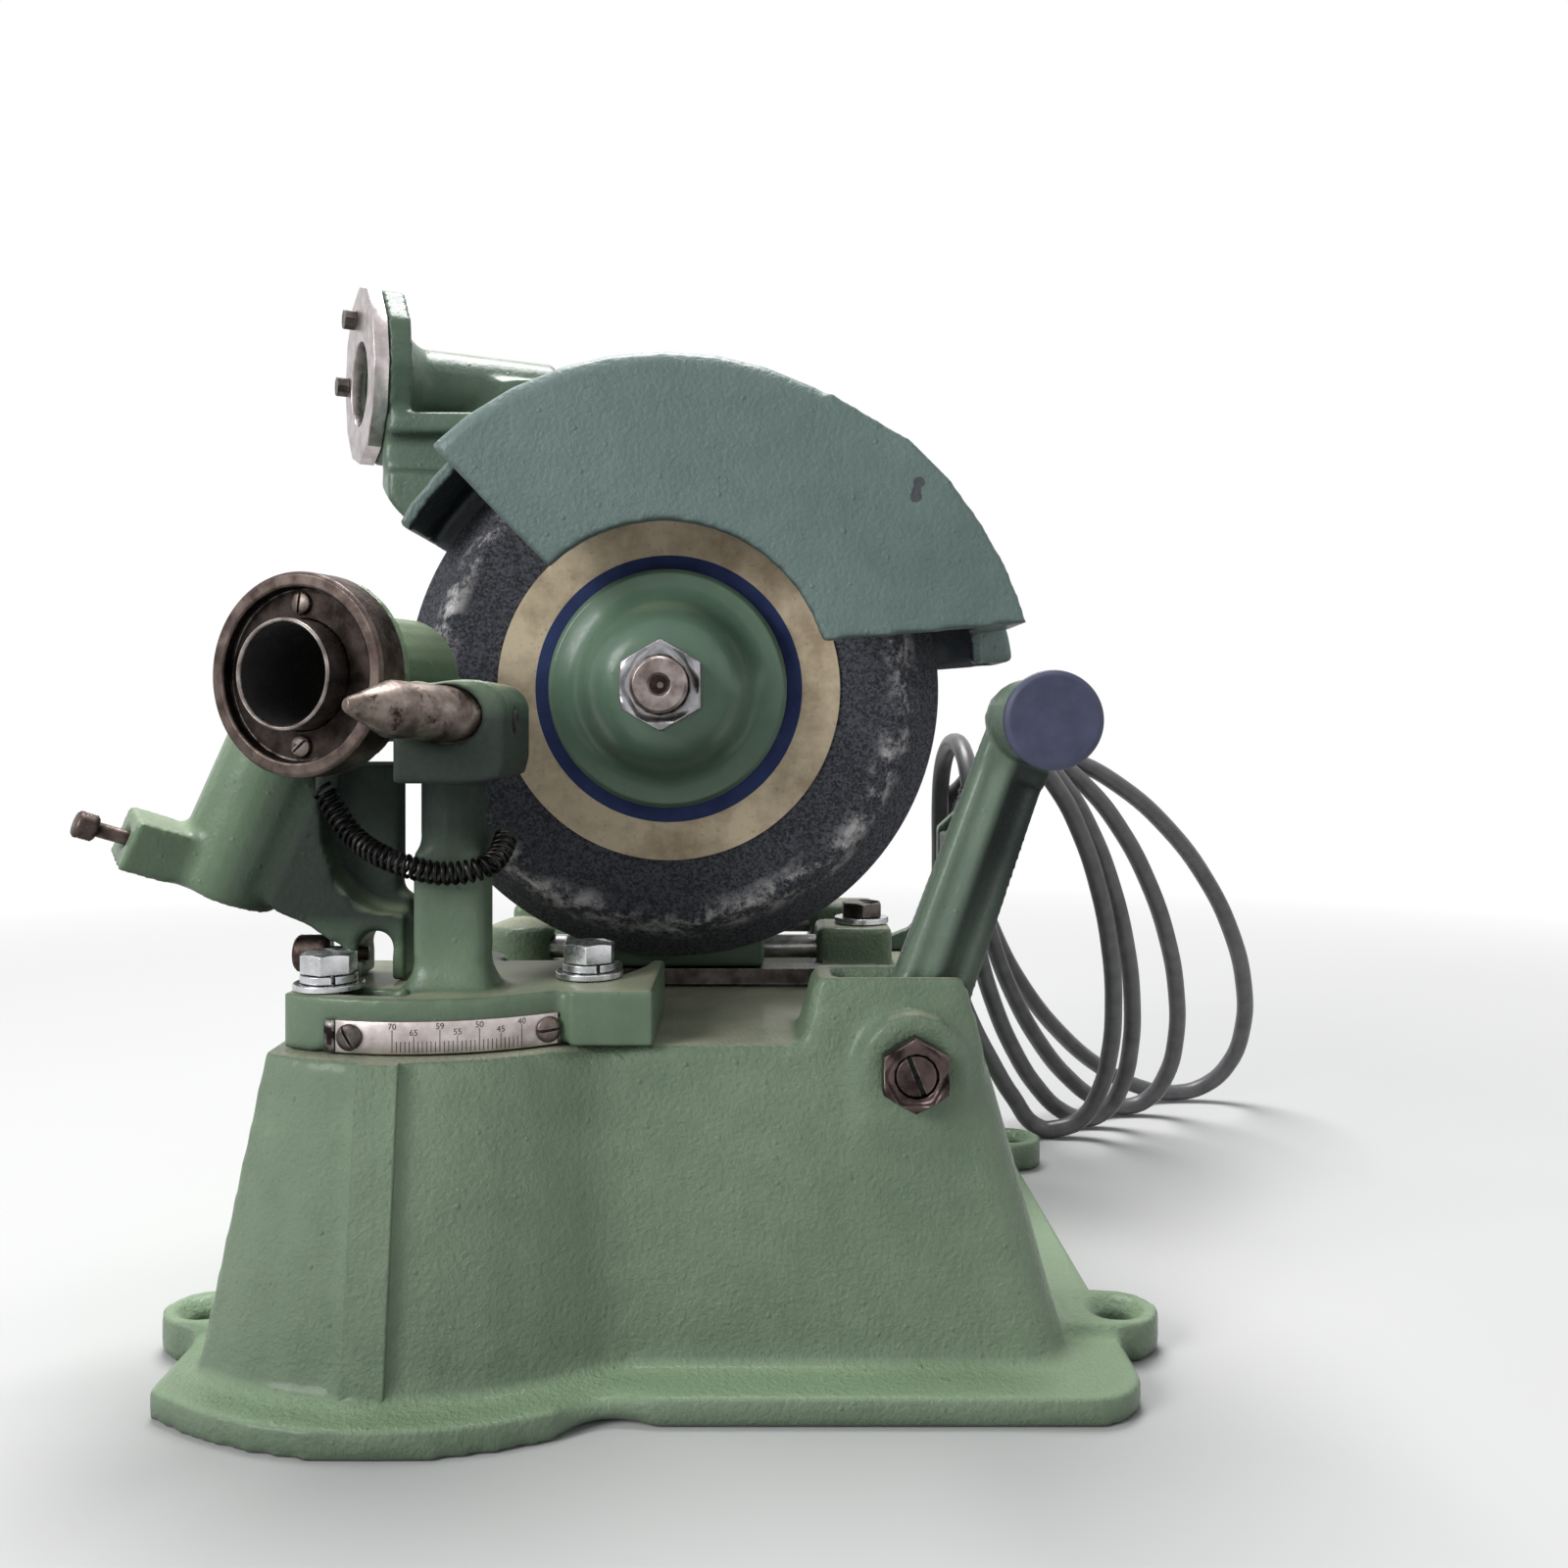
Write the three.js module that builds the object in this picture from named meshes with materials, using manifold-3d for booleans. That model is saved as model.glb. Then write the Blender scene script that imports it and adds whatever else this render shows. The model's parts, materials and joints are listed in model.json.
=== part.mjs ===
import * as THREE from 'three';
import { mergeVertices } from 'three/addons/utils/BufferGeometryUtils.js';
import Module from 'manifold-3d';

// Drill bit grinder, in millimetres. X runs to the right along the front, Y runs back, Z runs up.
// X is zero at the wheel's axis, Y at the foot of the straight front wall, Z at the bench.

const wasm = await Module();
wasm.setup();

// Fits
const seatGap = 0.3;
const runningGap = 0.8;
const cutOverrun = 4;
const sameVertex = 0.00005;
const flatTolerance = 0.01;

// Grinding wheel and spindle
const wheelRadius = 101.6;
const wheelThickness = 26;
const wheelFlatRadius = 85;
const wheelBevelDepth = 22;
const wheelFaceY = 77.5;
const wheelAxisRise = 116;
const arborRadius = 9.5;
const arborReach = 53;
const arborChamfer = 1;
const centreHoleRadius = 3;
const centreHoleDepth = 8;
const spindleRadius = 12.5;
const spindleInset = 1.1;
const blotterRadius = 62.6;
const blotterThickness = 0.8;
const outerFlangeRadius = 43;
const outerFlangeRim = 5;
const outerFlangeDepth = 31.8;
const domeRadius = 30;
const domeNeckRadius = 17;
const domeShoulder = 13;
const arborNutAcrossFlats = 27;
const arborNutThickness = 14;
const innerFlangeRadius = 38;
const innerFlangeThickness = 7.4;

// Motor
const motorRadius = 70;
const motorShellWall = 3.5;
const motorShellLength = 121.7;
const bellThickness = 14;
const bearingRadius = 24;
const bearingWidth = 12;
const rotorRadius = 38;
const rotorLength = 70;
const rotorStart = 25;
const rearBellDepth = 23.7;
const rearBellRim = 9.7;
const rearBellWeb = 8;
const rearBellShoulder = 10;
const bearingHousingWall = 6;

// Wheel head casting
const headPlateRadius = 62;
const headPlateThickness = 14;
const headPlateSetback = 8.5;
const saddleHalfWidth = 35;
const saddleLength = 113;
const saddleDrop = 50;
const headFootLeft = 48;
const headFootRight = 32;
const headFootFront = 38;
const headFootLength = 105;
const headFootHeight = 13.5;
const headFootClearance = 1.5;

// Traverse bar, driven by the lever's pin
const traverseBarThickness = 6;
const traverseBarWidth = 12;
const traverseBarHalfRoot = 20;
const tongueWidth = 18;
const tongueThickness = 8;
const tongueDrop = 60;
const tongueSlotHalfHeight = 6.2;
const tongueWallSetback = 18;

// Wheel guard
const guardRoom = 9.4;
const guardWall = 5;
const guardFrontY = 45;
const guardMouthRadius = 57;
const guardBackRadius = 46;
const guardFrontDepth = 35;
const guardRound = 5;
const guardScrewRadius = 2.8;
const guardScrewHeadRadius = 5;
const guardScrewHeadDepth = 2.4;
const guardScrewLength = 15;
const guardScrewCircle = 54;
const guardOuterScrewCircle = 86;
const guardTipAngles = { low: 10.4, high: 60 };
const guardTipSteps = 6;

// Base casting
const flangeThickness = 9;
const flangeHalfWidth = 150;
const flangeFront = 20;
const flangeBack = 20;
const flangeCorner = 18;
const baseDepth = 260;
const baseCorner = 12;
const seatHeight = 105;
const blockRise = 21;
const leftFoot = 140;
const leftTop = 122;
const rightFoot = 131;
const rightTop = 100;
const frontLean = 18.5;
const backLean = 15;
const baseWall = 8.5;
const bulgeFlangeRadius = 117;
const bulgeFootRadius = 102;
const bulgeTopRadius = 85;
const blockLeftFoot = 46;
const blockLeftTop = 51;
const blockBackFoot = 52;
const blockBackTop = 45;
const lugRadius = 14.5;
const lugThickness = 13;
const lugCentreX = 152;
const lugFrontY = 36;
const lugBackY = 228;
const lugHoleRadius = 5.5;
const lugCounterbore = 10;
const lugCounterboreDepth = 3;
const ribWidth = 13.6;
const ribProud = 3;
const ribRightX = 76;

// Lever and its pivot in the raised block
const leverPivotX = 82;
const leverPivotDrop = 7;
const leverLean = 19.7;
const leverLength = 118;
const leverThickness = 15;
const leverPlaneY = 29.75;
const leverSideClearance = 0.75;
const leverHubRadius = 14;
const leverFootHalfWidth = 13.5;
const leverTopHalfWidth = 11;
const leverTopRadius = 13.2;
const leverTailHalfWidth = 9;
const leverPinReach = 35;
const leverPinRadius = 3.5;
const leverPinLength = 43;
const leverPinClearance = 0.5;
const leverFluteRadius = 9;
const leverFluteOffset = 7;
const leverFluteDepth = 3;
const leverFluteStart = 24;
const leverFluteEnd = 98;
const handleRadius = 13.75;
const handleReach = 31;
const capRadius = 15.2;
const capThickness = 3.2;
const capStudRadius = 4;
const capStudLength = 14;
const leverSlotLeft = 58;
const leverSlotDrop = 26;
const leverSlotWallRise = 2;
const pivotBossRadius = 18;
const pivotBossProud = 4.5;
const pivotBossDrop = 40;
const pivotScrewRadius = 6.75;
const pivotJournalRadius = 5;
const pivotScrewProud = 11;
const pivotScrewSlotWidth = 1.8;
const pivotScrewSlotDepth = 2.2;
const pivotScrewSlotTilt = 20;
const pivotThreadLength = 18;
const pivotScrewLength = 47;
const jamNutAcrossFlats = 20.8;
const jamNutThickness = 6.7;
const cheekThickness = 9;
const cheekDrop = 21;
const cheekLeft = 58;
const cheekRight = 106;

// Windows and supports on the base's seat
const traverse = 22;
const roofWindowMargin = 1.5;
const guideRodRadius = 5;
const guideRodHeight = 8;
const guideRodClearance = 0.4;
const frontRodY = 165;
const rearRodY = 240;
const rodBossX = 68.7;
const rodBossRadius = 15;
const rodBossHeight = 16.5;
const rodBossCone = 4.2;
const rodBossTipRadius = 4;
const rodBlockLeft = 57.3;
const rodBlockRight = 88.9;
const rodBlockHalfDepth = 15;
const rodBlockHeight = 18;
const rodEndX = 66;
const rodBoltX = 77;
const rodBoltRadius = 4;
const rodBoltLength = 13;
const rodBoltAcrossFlats = 16;
const rodBoltHeadHeight = 6;
const rodWasherRadius = 11.5;
const rodWasherThickness = 2.5;

// Swivel table, its post and scale
const contactRadius = 77.6;
const tableRadius = 78;
const tableThickness = 17.7;
const tableLeft = 40;
const tableBack = 6;
const tableHubRadius = 18.5;
const shoulderFront = 65.5;
const shoulderInner = 50;
const shoulderOuter = 76.6;
const swivelStudRadius = 6;
const swivelStudHeadRadius = 10;
const swivelStudHeadDepth = 5;
const swivelStudLength = 27;
const clampCircle = 67;
const clampSlotHalfWidth = 5;
const clampBoltRadius = 4.5;
const clampBoltAcrossFlats = 15.9;
const clampBoltHeadHeight = 6.5;
const clampBoltLength = 31;
const clampWasherRadius = 11.2;
const clampWasherThickness = 2;
const springWasherRadius = 9;
const springWasherThickness = 2.4;
const scaleDepth = 1.5;
const scaleThickness = 1.2;
const scaleHeight = 10;
const scaleFoot = 0.5;
const scaleScrewRadius = 4.2;
const scaleScrewHeadHeight = 1.8;
const scaleScrewShankRadius = 1.4;
const scaleScrewShankLength = 5.8;
const postX = 11.6;
const postY = 57.5;
const postHalfWidth = 11.5;
const postHalfDepth = 10;
const postCorner = 4;
const postSkirt = 4;
const postSkirtHeight = 7;
const postNeckRadius = 10.4;
const postNeckBottom = 45;
const postNeckTop = 67;
const postHeadTop = 98.5;
const postHeadLeft = 11;
const postHeadRight = 23;
const postHeadFront = 34;
const postHeadBack = 9;
const postHeadRound = 8;
const postShoulderLeft = 2;
const postShoulderFront = 18;
const postScallop = 1;
const followerRadius = 8.5;
const followerTipRadius = 2;
const followerConeLength = 14;
const followerLength = 48;
const followerTipX = 6.6;
const followerTipY = 114.5;
const followerTipHeight = 108.3;
const followerYaw = 42;
const followerDip = 3.9;
const setScrewHoleRadius = 3;
const setScrewHoleDepth = 9;
const setScrewHoleHeight = 86;

// Inclined pivot barrel on its bracket
const barrelFootX = 148.8;
const barrelFootY = 40;
const barrelFootRise = 29;
const barrelTilt = 24.2;
const barrelRadius = 19;
const barrelLength = 56;
const barrelFloor = 10;
const stemRadius = 11;
const stemLength = 44;
const stemHeadRadius = 13;
const stemHeadLength = 15;
const lugArmStart = 8;
const lugArmTurn = 35;
const lugArmHeight = 17;
const lugArmWidth = 20;
const lugArmLength = 36;
const bracketWebFront = 40;
const bracketWebBack = 50;
const bracketRimFront = 28.4;
const bracketOutlineLeft = 150;
const bracketOutlineWidth = 66;
const bracketOutlineHeight = 73;
const bracketArchLeft = 99.7;
const bracketArchRight = 88.3;
const bracketArchHeight = 11;
const lockScrewShankRadius = 2.4;
const lockScrewHeadRadius = 4.4;
const lockScrewHeadLength = 6.5;
const lockScrewNeck = 9;
const lockScrewLength = 24;
const stopScrewHeadRadius = 6.2;
const stopScrewHeadLength = 11;
const stopScrewHeight = 8.5;
const stopScrewY = 34;
const stopScrewHeadX = 121.5;
const stopScrewLength = 24;
const stopHoleDepth = 16;

// Chuck station, along its own axis from the ring's front face
const chuckYaw = 20;
const chuckReach = 90.5;
const chuckRise = 100;
const ringRadius = 31.5;
const ringLength = 12;
const ringRimRadius = 26.7;
const ringRecess = 4;
const collarLength = 3;
const collarCone = 7;
const housingRadius = 21;
const housingLength = 60;
const sleeveRadius = 17;
const sleeveBore = 15.5;
const sleeveProud = 6;
const sleeveLength = 65;
const sleeveEdge = 0.7;
const ringScrewCircle = 22;
const ringScrewHeadRadius = 3.5;
const ringScrewHeadHeight = 1.6;
const ringScrewShankRadius = 1.8;
const ringScrewShankLength = 7;
const ringScrewSlot = 0.9;
const springTabX = 108.4;
const springTabY = 25;
const springTabHalfWidth = 4;
const springTabThickness = 3;
const springTabDrop = 40;
const springTabHeight = 26;

// Return spring
const springWireRadius = 0.55;
const springCoilRadius = 3;
const springTurns = 26;
const springTurnSteps = 6;
const springSides = 3;
const springHookX = 46;
const springHookY = 26;
const springHookRise = 48.5;
const springPinRadius = 2;
const springPinReach = 6;

// Web thinning station behind the guard, in the wheel head's frame
const thinningX = 123.6;
const thinningY = 135;
const thinningHeight = 125;
const thinningYaw = 63;
const thinningBarrelRadius = 17;
const thinningBarrelBore = 12;
const thinningBarrelLength = 74;
const thinningBossRadius = 24;
const thinningBossLength = 8;
const thinningFlangeThickness = 9;
const facePlateHalfWidth = 30;
const facePlateHalfHeight = 36;
const facePlateRise = 3.6;
const facePlateThickness = 6;
const facePlateBore = 17;
const facePinRadius = 4;
const facePinHeadHeight = 4.5;
const facePinShankRadius = 2.4;
const facePinShankLength = 12;
const facePinTopRise = 28;
const facePinTopOffset = 8;
const facePinSideRise = 4;
const facePinSideOffset = 24;
const thinningWebThickness = 12;
const thinningWebRecess = 6;
const thinningShoulderFront = 27;
const thinningShoulderDepth = 43;
const thinningOutlineWidth = 131;
const thinningOutlineHeight = 132;

// Switch and cord
const cordRadius = 4.25;
const switchBoxLeft = 115;
const switchBoxWidth = 26;
const switchBoxFront = 178;
const switchBoxDepth = 22;
const switchBoxRise = 27;
const switchBoxHeight = 28;
const toggleRadius = 3;
const toggleLength = 16;
const toggleBaseLength = 5;
const toggleTilt = 12;
const toggleHeight = 14;
const bracketPlate = 8;
const bracketFootLeft = 88;
const bracketSpan = 70;
const bracketRise = 85;
const hangerX = 148;
const hangerRise = 79;
const hangerRadius = 6;
const hangerLength = 56;
const hangerSlant = 22.3;
const hangerCapRadius = 9;
const hangerCapLength = 4;
const glandX = 128;
const glandY = 189.5;
const glandRadius = 8;
const glandTipRadius = 5.6;
const glandLength = 8;
const glandCollar = 4;
const coilSeat = 1.1;
const coilTopY = 211;
const coilTopPitch = 11;
const coilTopShift = 4.5;
const coilFootX = 184;
const coilFootPitchX = 13.8;
const coilFootGrowthX = 4.2;
const coilFootY = 268;
const coilFootPitchY = 14.2;
const coilFootGrowthY = 2.8;
const coilHalfWidth = 37;
const coilHalfWidthPitch = -8;
const coilHalfWidthGrowth = 4.9;
const coilTurns = 3.625;
const coilTurnSteps = 20;
const coilSides = 6;
const cordSides = 8;
const cordStep = 20;
const archShift = 5;
const archSpan = 67;
const archFootRise = 10;
const archRise = 30;
const plugX = 52;
const plugY = 342;
const plugRadius = 12;
const plugNeckRadius = 7;
const plugNeckLength = 9;
const plugLength = 32;
const plugPinLength = 19;
const plugPinWidth = 6.3;
const plugPinThickness = 1.6;
const plugPinSpacing = 12.7;

// Counts of sides
const wheelSides = 40;
const roundSides = 24;
const smallSides = 14;
const tinySides = 8;
const hexSides = 6;

// Finishes
const paint = { color: 0x3f5f48, roughness: 0.45, metalness: 0.15 };
const darkSteel = { color: 0x3a302c, roughness: 0.45, metalness: 0.8 };
const brightSteel = { color: 0xb9bcc0, roughness: 0.3, metalness: 1 };
const bareSteel = { color: 0x8c8078, roughness: 0.4, metalness: 0.9 };
const abrasive = { color: 0x3c3d42, roughness: 0.95, metalness: 0 };
const paper = { color: 0xc9a86a, roughness: 0.8, metalness: 0 };
const blackPlastic = { color: 0x1b1c20, roughness: 0.4, metalness: 0 };
const greyRubber = { color: 0x8b8784, roughness: 0.7, metalness: 0 };
const copper = { color: 0x9a5a32, roughness: 0.5, metalness: 0.7 };

// Solid helpers

const radians = THREE.MathUtils.degToRad;
const vector2 = ([x, y]) => new THREE.Vector2(x, y);
const vector3 = ([x, y, z]) => new THREE.Vector3(x, y, z);

function outward(geometry) {
  const plain = geometry.clone();
  plain.deleteAttribute('normal');
  plain.deleteAttribute('uv');
  const merged = mergeVertices(plain, sameVertex);
  const index = merged.index.array;
  const corners = [new THREE.Vector3(), new THREE.Vector3(), new THREE.Vector3()];
  const kept = [];
  let volume = 0;
  for (let face = 0; face < index.length; face += 3) {
    const [a, b, c] = index.slice(face, face + 3);
    if (a === b || b === c || c === a) continue;
    kept.push(a, b, c);
    corners.forEach((corner, side) => corner.fromBufferAttribute(merged.attributes.position, [a, b, c][side]));
    volume += corners[0].dot(corners[1].cross(corners[2]));
  }
  if (volume < 0) kept.reverse();
  merged.setIndex(kept);
  return merged;
}

function toSolid(geometry) {
  const closed = outward(geometry);
  return new wasm.Manifold(new wasm.Mesh({
    numProp: 3,
    vertProperties: new Float32Array(closed.attributes.position.array),
    triVerts: new Uint32Array(closed.index.array),
  }));
}

function toGeometry(solid) {
  const { vertProperties, triVerts } = solid.simplify(flatTolerance).getMesh();
  const geometry = new THREE.BufferGeometry();
  geometry.setAttribute('position', new THREE.BufferAttribute(vertProperties, 3));
  geometry.setIndex(new THREE.BufferAttribute(triVerts, 1));
  return geometry;
}

const join = (...bodies) => toGeometry(bodies.map(toSolid).reduce((sum, body) => sum.add(body)));
const common = (...bodies) => toGeometry(bodies.map(toSolid).reduce((rest, body) => rest.intersect(body)));
const cut = (body, ...tools) =>
  toGeometry(tools.map(toSolid).reduce((rest, tool) => rest.subtract(tool), toSolid(body)));

const moved = (geometry, x, y, z) => geometry.clone().translate(x, y, z);
const upright = (geometry) => geometry.clone().rotateX(Math.PI / 2);
const sideways = (geometry) => geometry.clone().rotateZ(-Math.PI / 2);

// A body modelled along +Y is turned to point along a direction, with its origin at a place.
function aimed(geometry, place, direction) {
  const turn = new THREE.Quaternion().setFromUnitVectors(
    new THREE.Vector3(0, 1, 0), direction.clone().normalize());
  return geometry.clone().applyQuaternion(turn).translate(place.x, place.y, place.z);
}

const turned = (profile, sides = roundSides) => new THREE.LatheGeometry(profile.map(vector2), sides);
const disc = (radius, start, end, sides) =>
  turned([[0, start], [radius, start], [radius, end], [0, end]], sides);
const hoop = (inner, outer, start, end, sides) =>
  turned([[inner, start], [outer, start], [outer, end], [inner, end], [inner, start]], sides);

function box(x0, x1, y0, y1, z0, z1) {
  const geometry = new THREE.BoxGeometry(x1 - x0, y1 - y0, z1 - z0);
  return geometry.translate((x0 + x1) / 2, (y0 + y1) / 2, (z0 + z1) / 2);
}

// An outline in X and Y, as thick as its height in Z.
function plate(outline, bottom, top) {
  const shape = new THREE.Shape(outline.map(vector2));
  return new THREE.ExtrudeGeometry(shape, { depth: top - bottom, bevelEnabled: false }).translate(0, 0, bottom);
}

// An outline in X and Z, as thick as its depth in Y.
function slab(outline, front, back) {
  return plate(outline, 0, back - front).rotateX(Math.PI / 2).translate(0, back, 0);
}

function arc(centreX, centreY, radius, from, to, steps) {
  return Array.from({ length: steps + 1 }, (_, step) => {
    const angle = radians(from + ((to - from) * step) / steps);
    return [centreX + radius * Math.cos(angle), centreY + radius * Math.sin(angle)];
  });
}

function roundedRectangle(x0, x1, y0, y1, radius, steps = 4) {
  return [
    ...arc(x1 - radius, y0 + radius, radius, -90, 0, steps),
    ...arc(x1 - radius, y1 - radius, radius, 0, 90, steps),
    ...arc(x0 + radius, y1 - radius, radius, 90, 180, steps),
    ...arc(x0 + radius, y0 + radius, radius, 180, 270, steps),
  ];
}

// A body whose foot outline changes evenly into its top outline.
function tapered(foot, top, bottom, height) {
  const geometry = plate(foot, 0, height - bottom);
  const place = geometry.attributes.position;
  for (let vertex = 0; vertex < place.count; vertex += 1) {
    if (place.getZ(vertex) < (height - bottom) / 2) continue;
    const gaps = foot.map(([x, y]) => Math.hypot(x - place.getX(vertex), y - place.getY(vertex)));
    const [x, y] = top[gaps.indexOf(Math.min(...gaps))];
    place.setXY(vertex, x, y);
  }
  return geometry.translate(0, 0, bottom);
}

// A hexagon with turned corners, along Y.
function hexagon(acrossFlats, start, end) {
  const corner = acrossFlats / Math.sqrt(3);
  const chamfer = (corner - acrossFlats / 2) / 2;
  const prism = disc(corner, start, end, hexSides);
  return common(prism, turned([
    [0, start], [acrossFlats / 2, start], [corner, start + chamfer], [corner, end], [0, end]]));
}

// A tube through a list of places, with flat ends and no twist.
function windingTube(places, radius, sides) {
  const ways = places.map((place, step) => places[Math.min(step + 1, places.length - 1)]
    .clone().sub(places[Math.max(step - 1, 0)]).normalize());
  const side = new THREE.Vector3(0, 0, 1).cross(ways[0]);
  if (side.length() < Number.EPSILON) side.set(1, 0, 0);
  side.normalize();
  const corners = [];
  places.forEach((place, step) => {
    side.addScaledVector(ways[step], -side.dot(ways[step])).normalize();
    const up = ways[step].clone().cross(side);
    for (let corner = 0; corner < sides; corner += 1) {
      const angle = (2 * Math.PI * corner) / sides;
      corners.push(place.clone()
        .addScaledVector(side, radius * Math.cos(angle)).addScaledVector(up, radius * Math.sin(angle)));
    }
  });
  const faces = [];
  for (let step = 0; step + 1 < places.length; step += 1) {
    for (let corner = 0; corner < sides; corner += 1) {
      const next = (corner + 1) % sides;
      const [a, b] = [step * sides + corner, step * sides + next];
      faces.push(a, b, b + sides, a, b + sides, a + sides);
    }
  }
  const last = (places.length - 1) * sides;
  for (let corner = 1; corner + 1 < sides; corner += 1) {
    faces.push(0, corner + 1, corner, last, last + corner, last + corner + 1);
  }
  const geometry = new THREE.BufferGeometry();
  geometry.setAttribute('position',
    new THREE.BufferAttribute(new Float32Array(corners.flatMap((corner) => corner.toArray())), 3));
  geometry.setIndex(faces);
  return geometry;
}

// The least gap between the turns of a tube, from the places of its middle line.
function leastGap(places, radius, near) {
  let least = Infinity;
  for (let one = 0; one < places.length; one += 1) {
    for (let other = one + near; other < places.length; other += 1) {
      const ahead = places[Math.min(other + 1, places.length - 1)];
      const closest = new THREE.Line3(places[other], ahead)
        .closestPointToPoint(places[one], true, new THREE.Vector3());
      least = Math.min(least, closest.distanceTo(places[one]) - 2 * radius);
    }
  }
  return least;
}

const routeLength = (places) =>
  places.reduce((sum, place, step) => sum + (step ? place.distanceTo(places[step - 1]) : 0), 0);

function mesh(name, geometry, finish) {
  const part = new THREE.Mesh(outward(geometry), new THREE.MeshStandardMaterial(finish));
  part.name = name;
  return part;
}

function group(x, y, z, ...children) {
  const holder = new THREE.Group();
  holder.position.set(x, y, z);
  holder.add(...children);
  return holder;
}

// Places that several pieces share

const wheelAxisHeight = seatHeight + wheelAxisRise;
const blockHeight = seatHeight + blockRise;
const leverPivotHeight = seatHeight - leverPivotDrop;
const leverSlotFloor = leverPivotHeight - leverSlotDrop;
const leverSlotWallCut = leverPivotHeight + leverSlotWallRise;
const guardOuterRadius = wheelRadius + guardRoom + guardWall;
const wheelBackY = wheelFaceY + wheelThickness;
const headPlateY = wheelBackY + headPlateSetback;
const bellFrontY = headPlateY + headPlateThickness;
const motorFrontY = bellFrontY + bellThickness;
const rearBellY = motorFrontY + seatGap + motorShellLength;
const swivelX = -contactRadius;
const swivelY = wheelFaceY;
const tableTop = seatHeight + seatGap + tableThickness;
const barrelFootHeight = tableTop + barrelFootRise;
const chuckHeight = tableTop + chuckRise;
const springTabBottom = chuckHeight - springTabDrop;
const springTabTop = springTabBottom + springTabHeight;
const springHookHeight = tableTop + springHookRise;
const switchBoxFoot = seatHeight + switchBoxRise;
const hangerHeight = seatHeight + hangerRise;
const archFoot = switchBoxFoot + switchBoxHeight + archFootRise;
const leverBackY = leverPlaneY + leverThickness / 2;
const leverFrontY = leverPlaneY - leverThickness / 2;
const rodAxisHeight = seatHeight + guideRodHeight;
const headFootBottom = seatHeight + headFootClearance;
const tonguePinX = leverPivotX - leverPinReach * Math.sin(radians(leverLean));
const tonguePinHeight = leverPivotHeight - leverPinReach * Math.cos(radians(leverLean));
const tongueFrontY = leverBackY + tongueWallSetback;

const frontWallY = (height) => (frontLean * (height - flangeThickness)) / (blockHeight - flangeThickness);
const rightWallX = (height) =>
  rightFoot - ((rightFoot - rightTop) * (height - flangeThickness)) / (blockHeight - flangeThickness);
const leftWallX = (height) =>
  -leftFoot + ((leftFoot - leftTop) * (height - flangeThickness)) / (seatHeight - flangeThickness);
const backWallY = (height) =>
  baseDepth - (backLean * (height - flangeThickness)) / (seatHeight - flangeThickness);
const bulgeRadius = (height) => bulgeFootRadius
  - ((bulgeFootRadius - bulgeTopRadius) * (height - flangeThickness)) / (seatHeight - flangeThickness);

// Base

function baseOutline(height, inset) {
  return roundedRectangle(leftWallX(height) + inset, rightWallX(height) - inset,
    frontWallY(height) + inset, backWallY(height) - inset, baseCorner - inset / 2);
}

function bulge(inset, bottom, top) {
  const cone = moved(upright(turned([
    [0, bottom], [bulgeRadius(bottom) - inset, bottom], [bulgeRadius(top) - inset, top], [0, top]], wheelSides)),
  swivelX, swivelY, 0);
  const reach = 2 * bulgeFlangeRadius;
  const side = (height) => [
    [leftWallX(height) + inset, swivelY - reach], [reach, swivelY - reach],
    [reach, swivelY], [leftWallX(height) + inset, swivelY]];
  return common(cone, tapered(side(bottom), side(top), bottom, top));
}

function raisedBlock() {
  const bottom = seatHeight - cutOverrun;
  const outline = (height) => {
    const share = (height - seatHeight) / (blockHeight - seatHeight);
    return roundedRectangle(blockLeftFoot + (blockLeftTop - blockLeftFoot) * share, rightWallX(height),
      frontWallY(height), blockBackFoot + (blockBackTop - blockBackFoot) * share, baseWall / 2, 3);
  };
  return tapered(outline(bottom), outline(blockHeight), bottom, blockHeight);
}

function pivotBoss() {
  const foot = leverPivotHeight - pivotBossDrop;
  const face = frontWallY(leverPivotHeight) - pivotBossProud;
  const outline = [
    ...arc(leverPivotX, leverPivotHeight, pivotBossRadius, 0, 180, 12),
    [leverPivotX - pivotBossRadius * 0.8, foot], [leverPivotX + pivotBossRadius * 0.8, foot]];
  return slab(outline, face, face + pivotBossProud + baseWall);
}

function lug(side, y) {
  const centre = side * lugCentreX;
  const pad = moved(upright(disc(lugRadius, 0, lugThickness, smallSides)), centre, y, 0);
  const neck = box(Math.min(centre, side * flangeHalfWidth * 0.88), Math.max(centre, side * flangeHalfWidth * 0.88),
    y - lugRadius, y + lugRadius, 0, lugThickness);
  return join(pad, neck);
}

function lugHole(side, y) {
  return moved(upright(turned([
    [0, -cutOverrun], [lugHoleRadius, -cutOverrun], [lugHoleRadius, lugThickness - lugCounterboreDepth],
    [lugCounterbore, lugThickness - lugCounterboreDepth], [lugCounterbore, lugThickness + cutOverrun],
    [0, lugThickness + cutOverrun]], smallSides)), side * lugCentreX, y, 0);
}

const lugPlaces = [[-1, lugFrontY], [1, lugFrontY], [-1, lugBackY], [1, lugBackY]];
const clampAngles = [-24.5, 52.9];
const clampPlaces = clampAngles.map((angle) => [
  swivelX + clampCircle * Math.sin(radians(angle)), swivelY - clampCircle * Math.cos(radians(angle))]);

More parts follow.
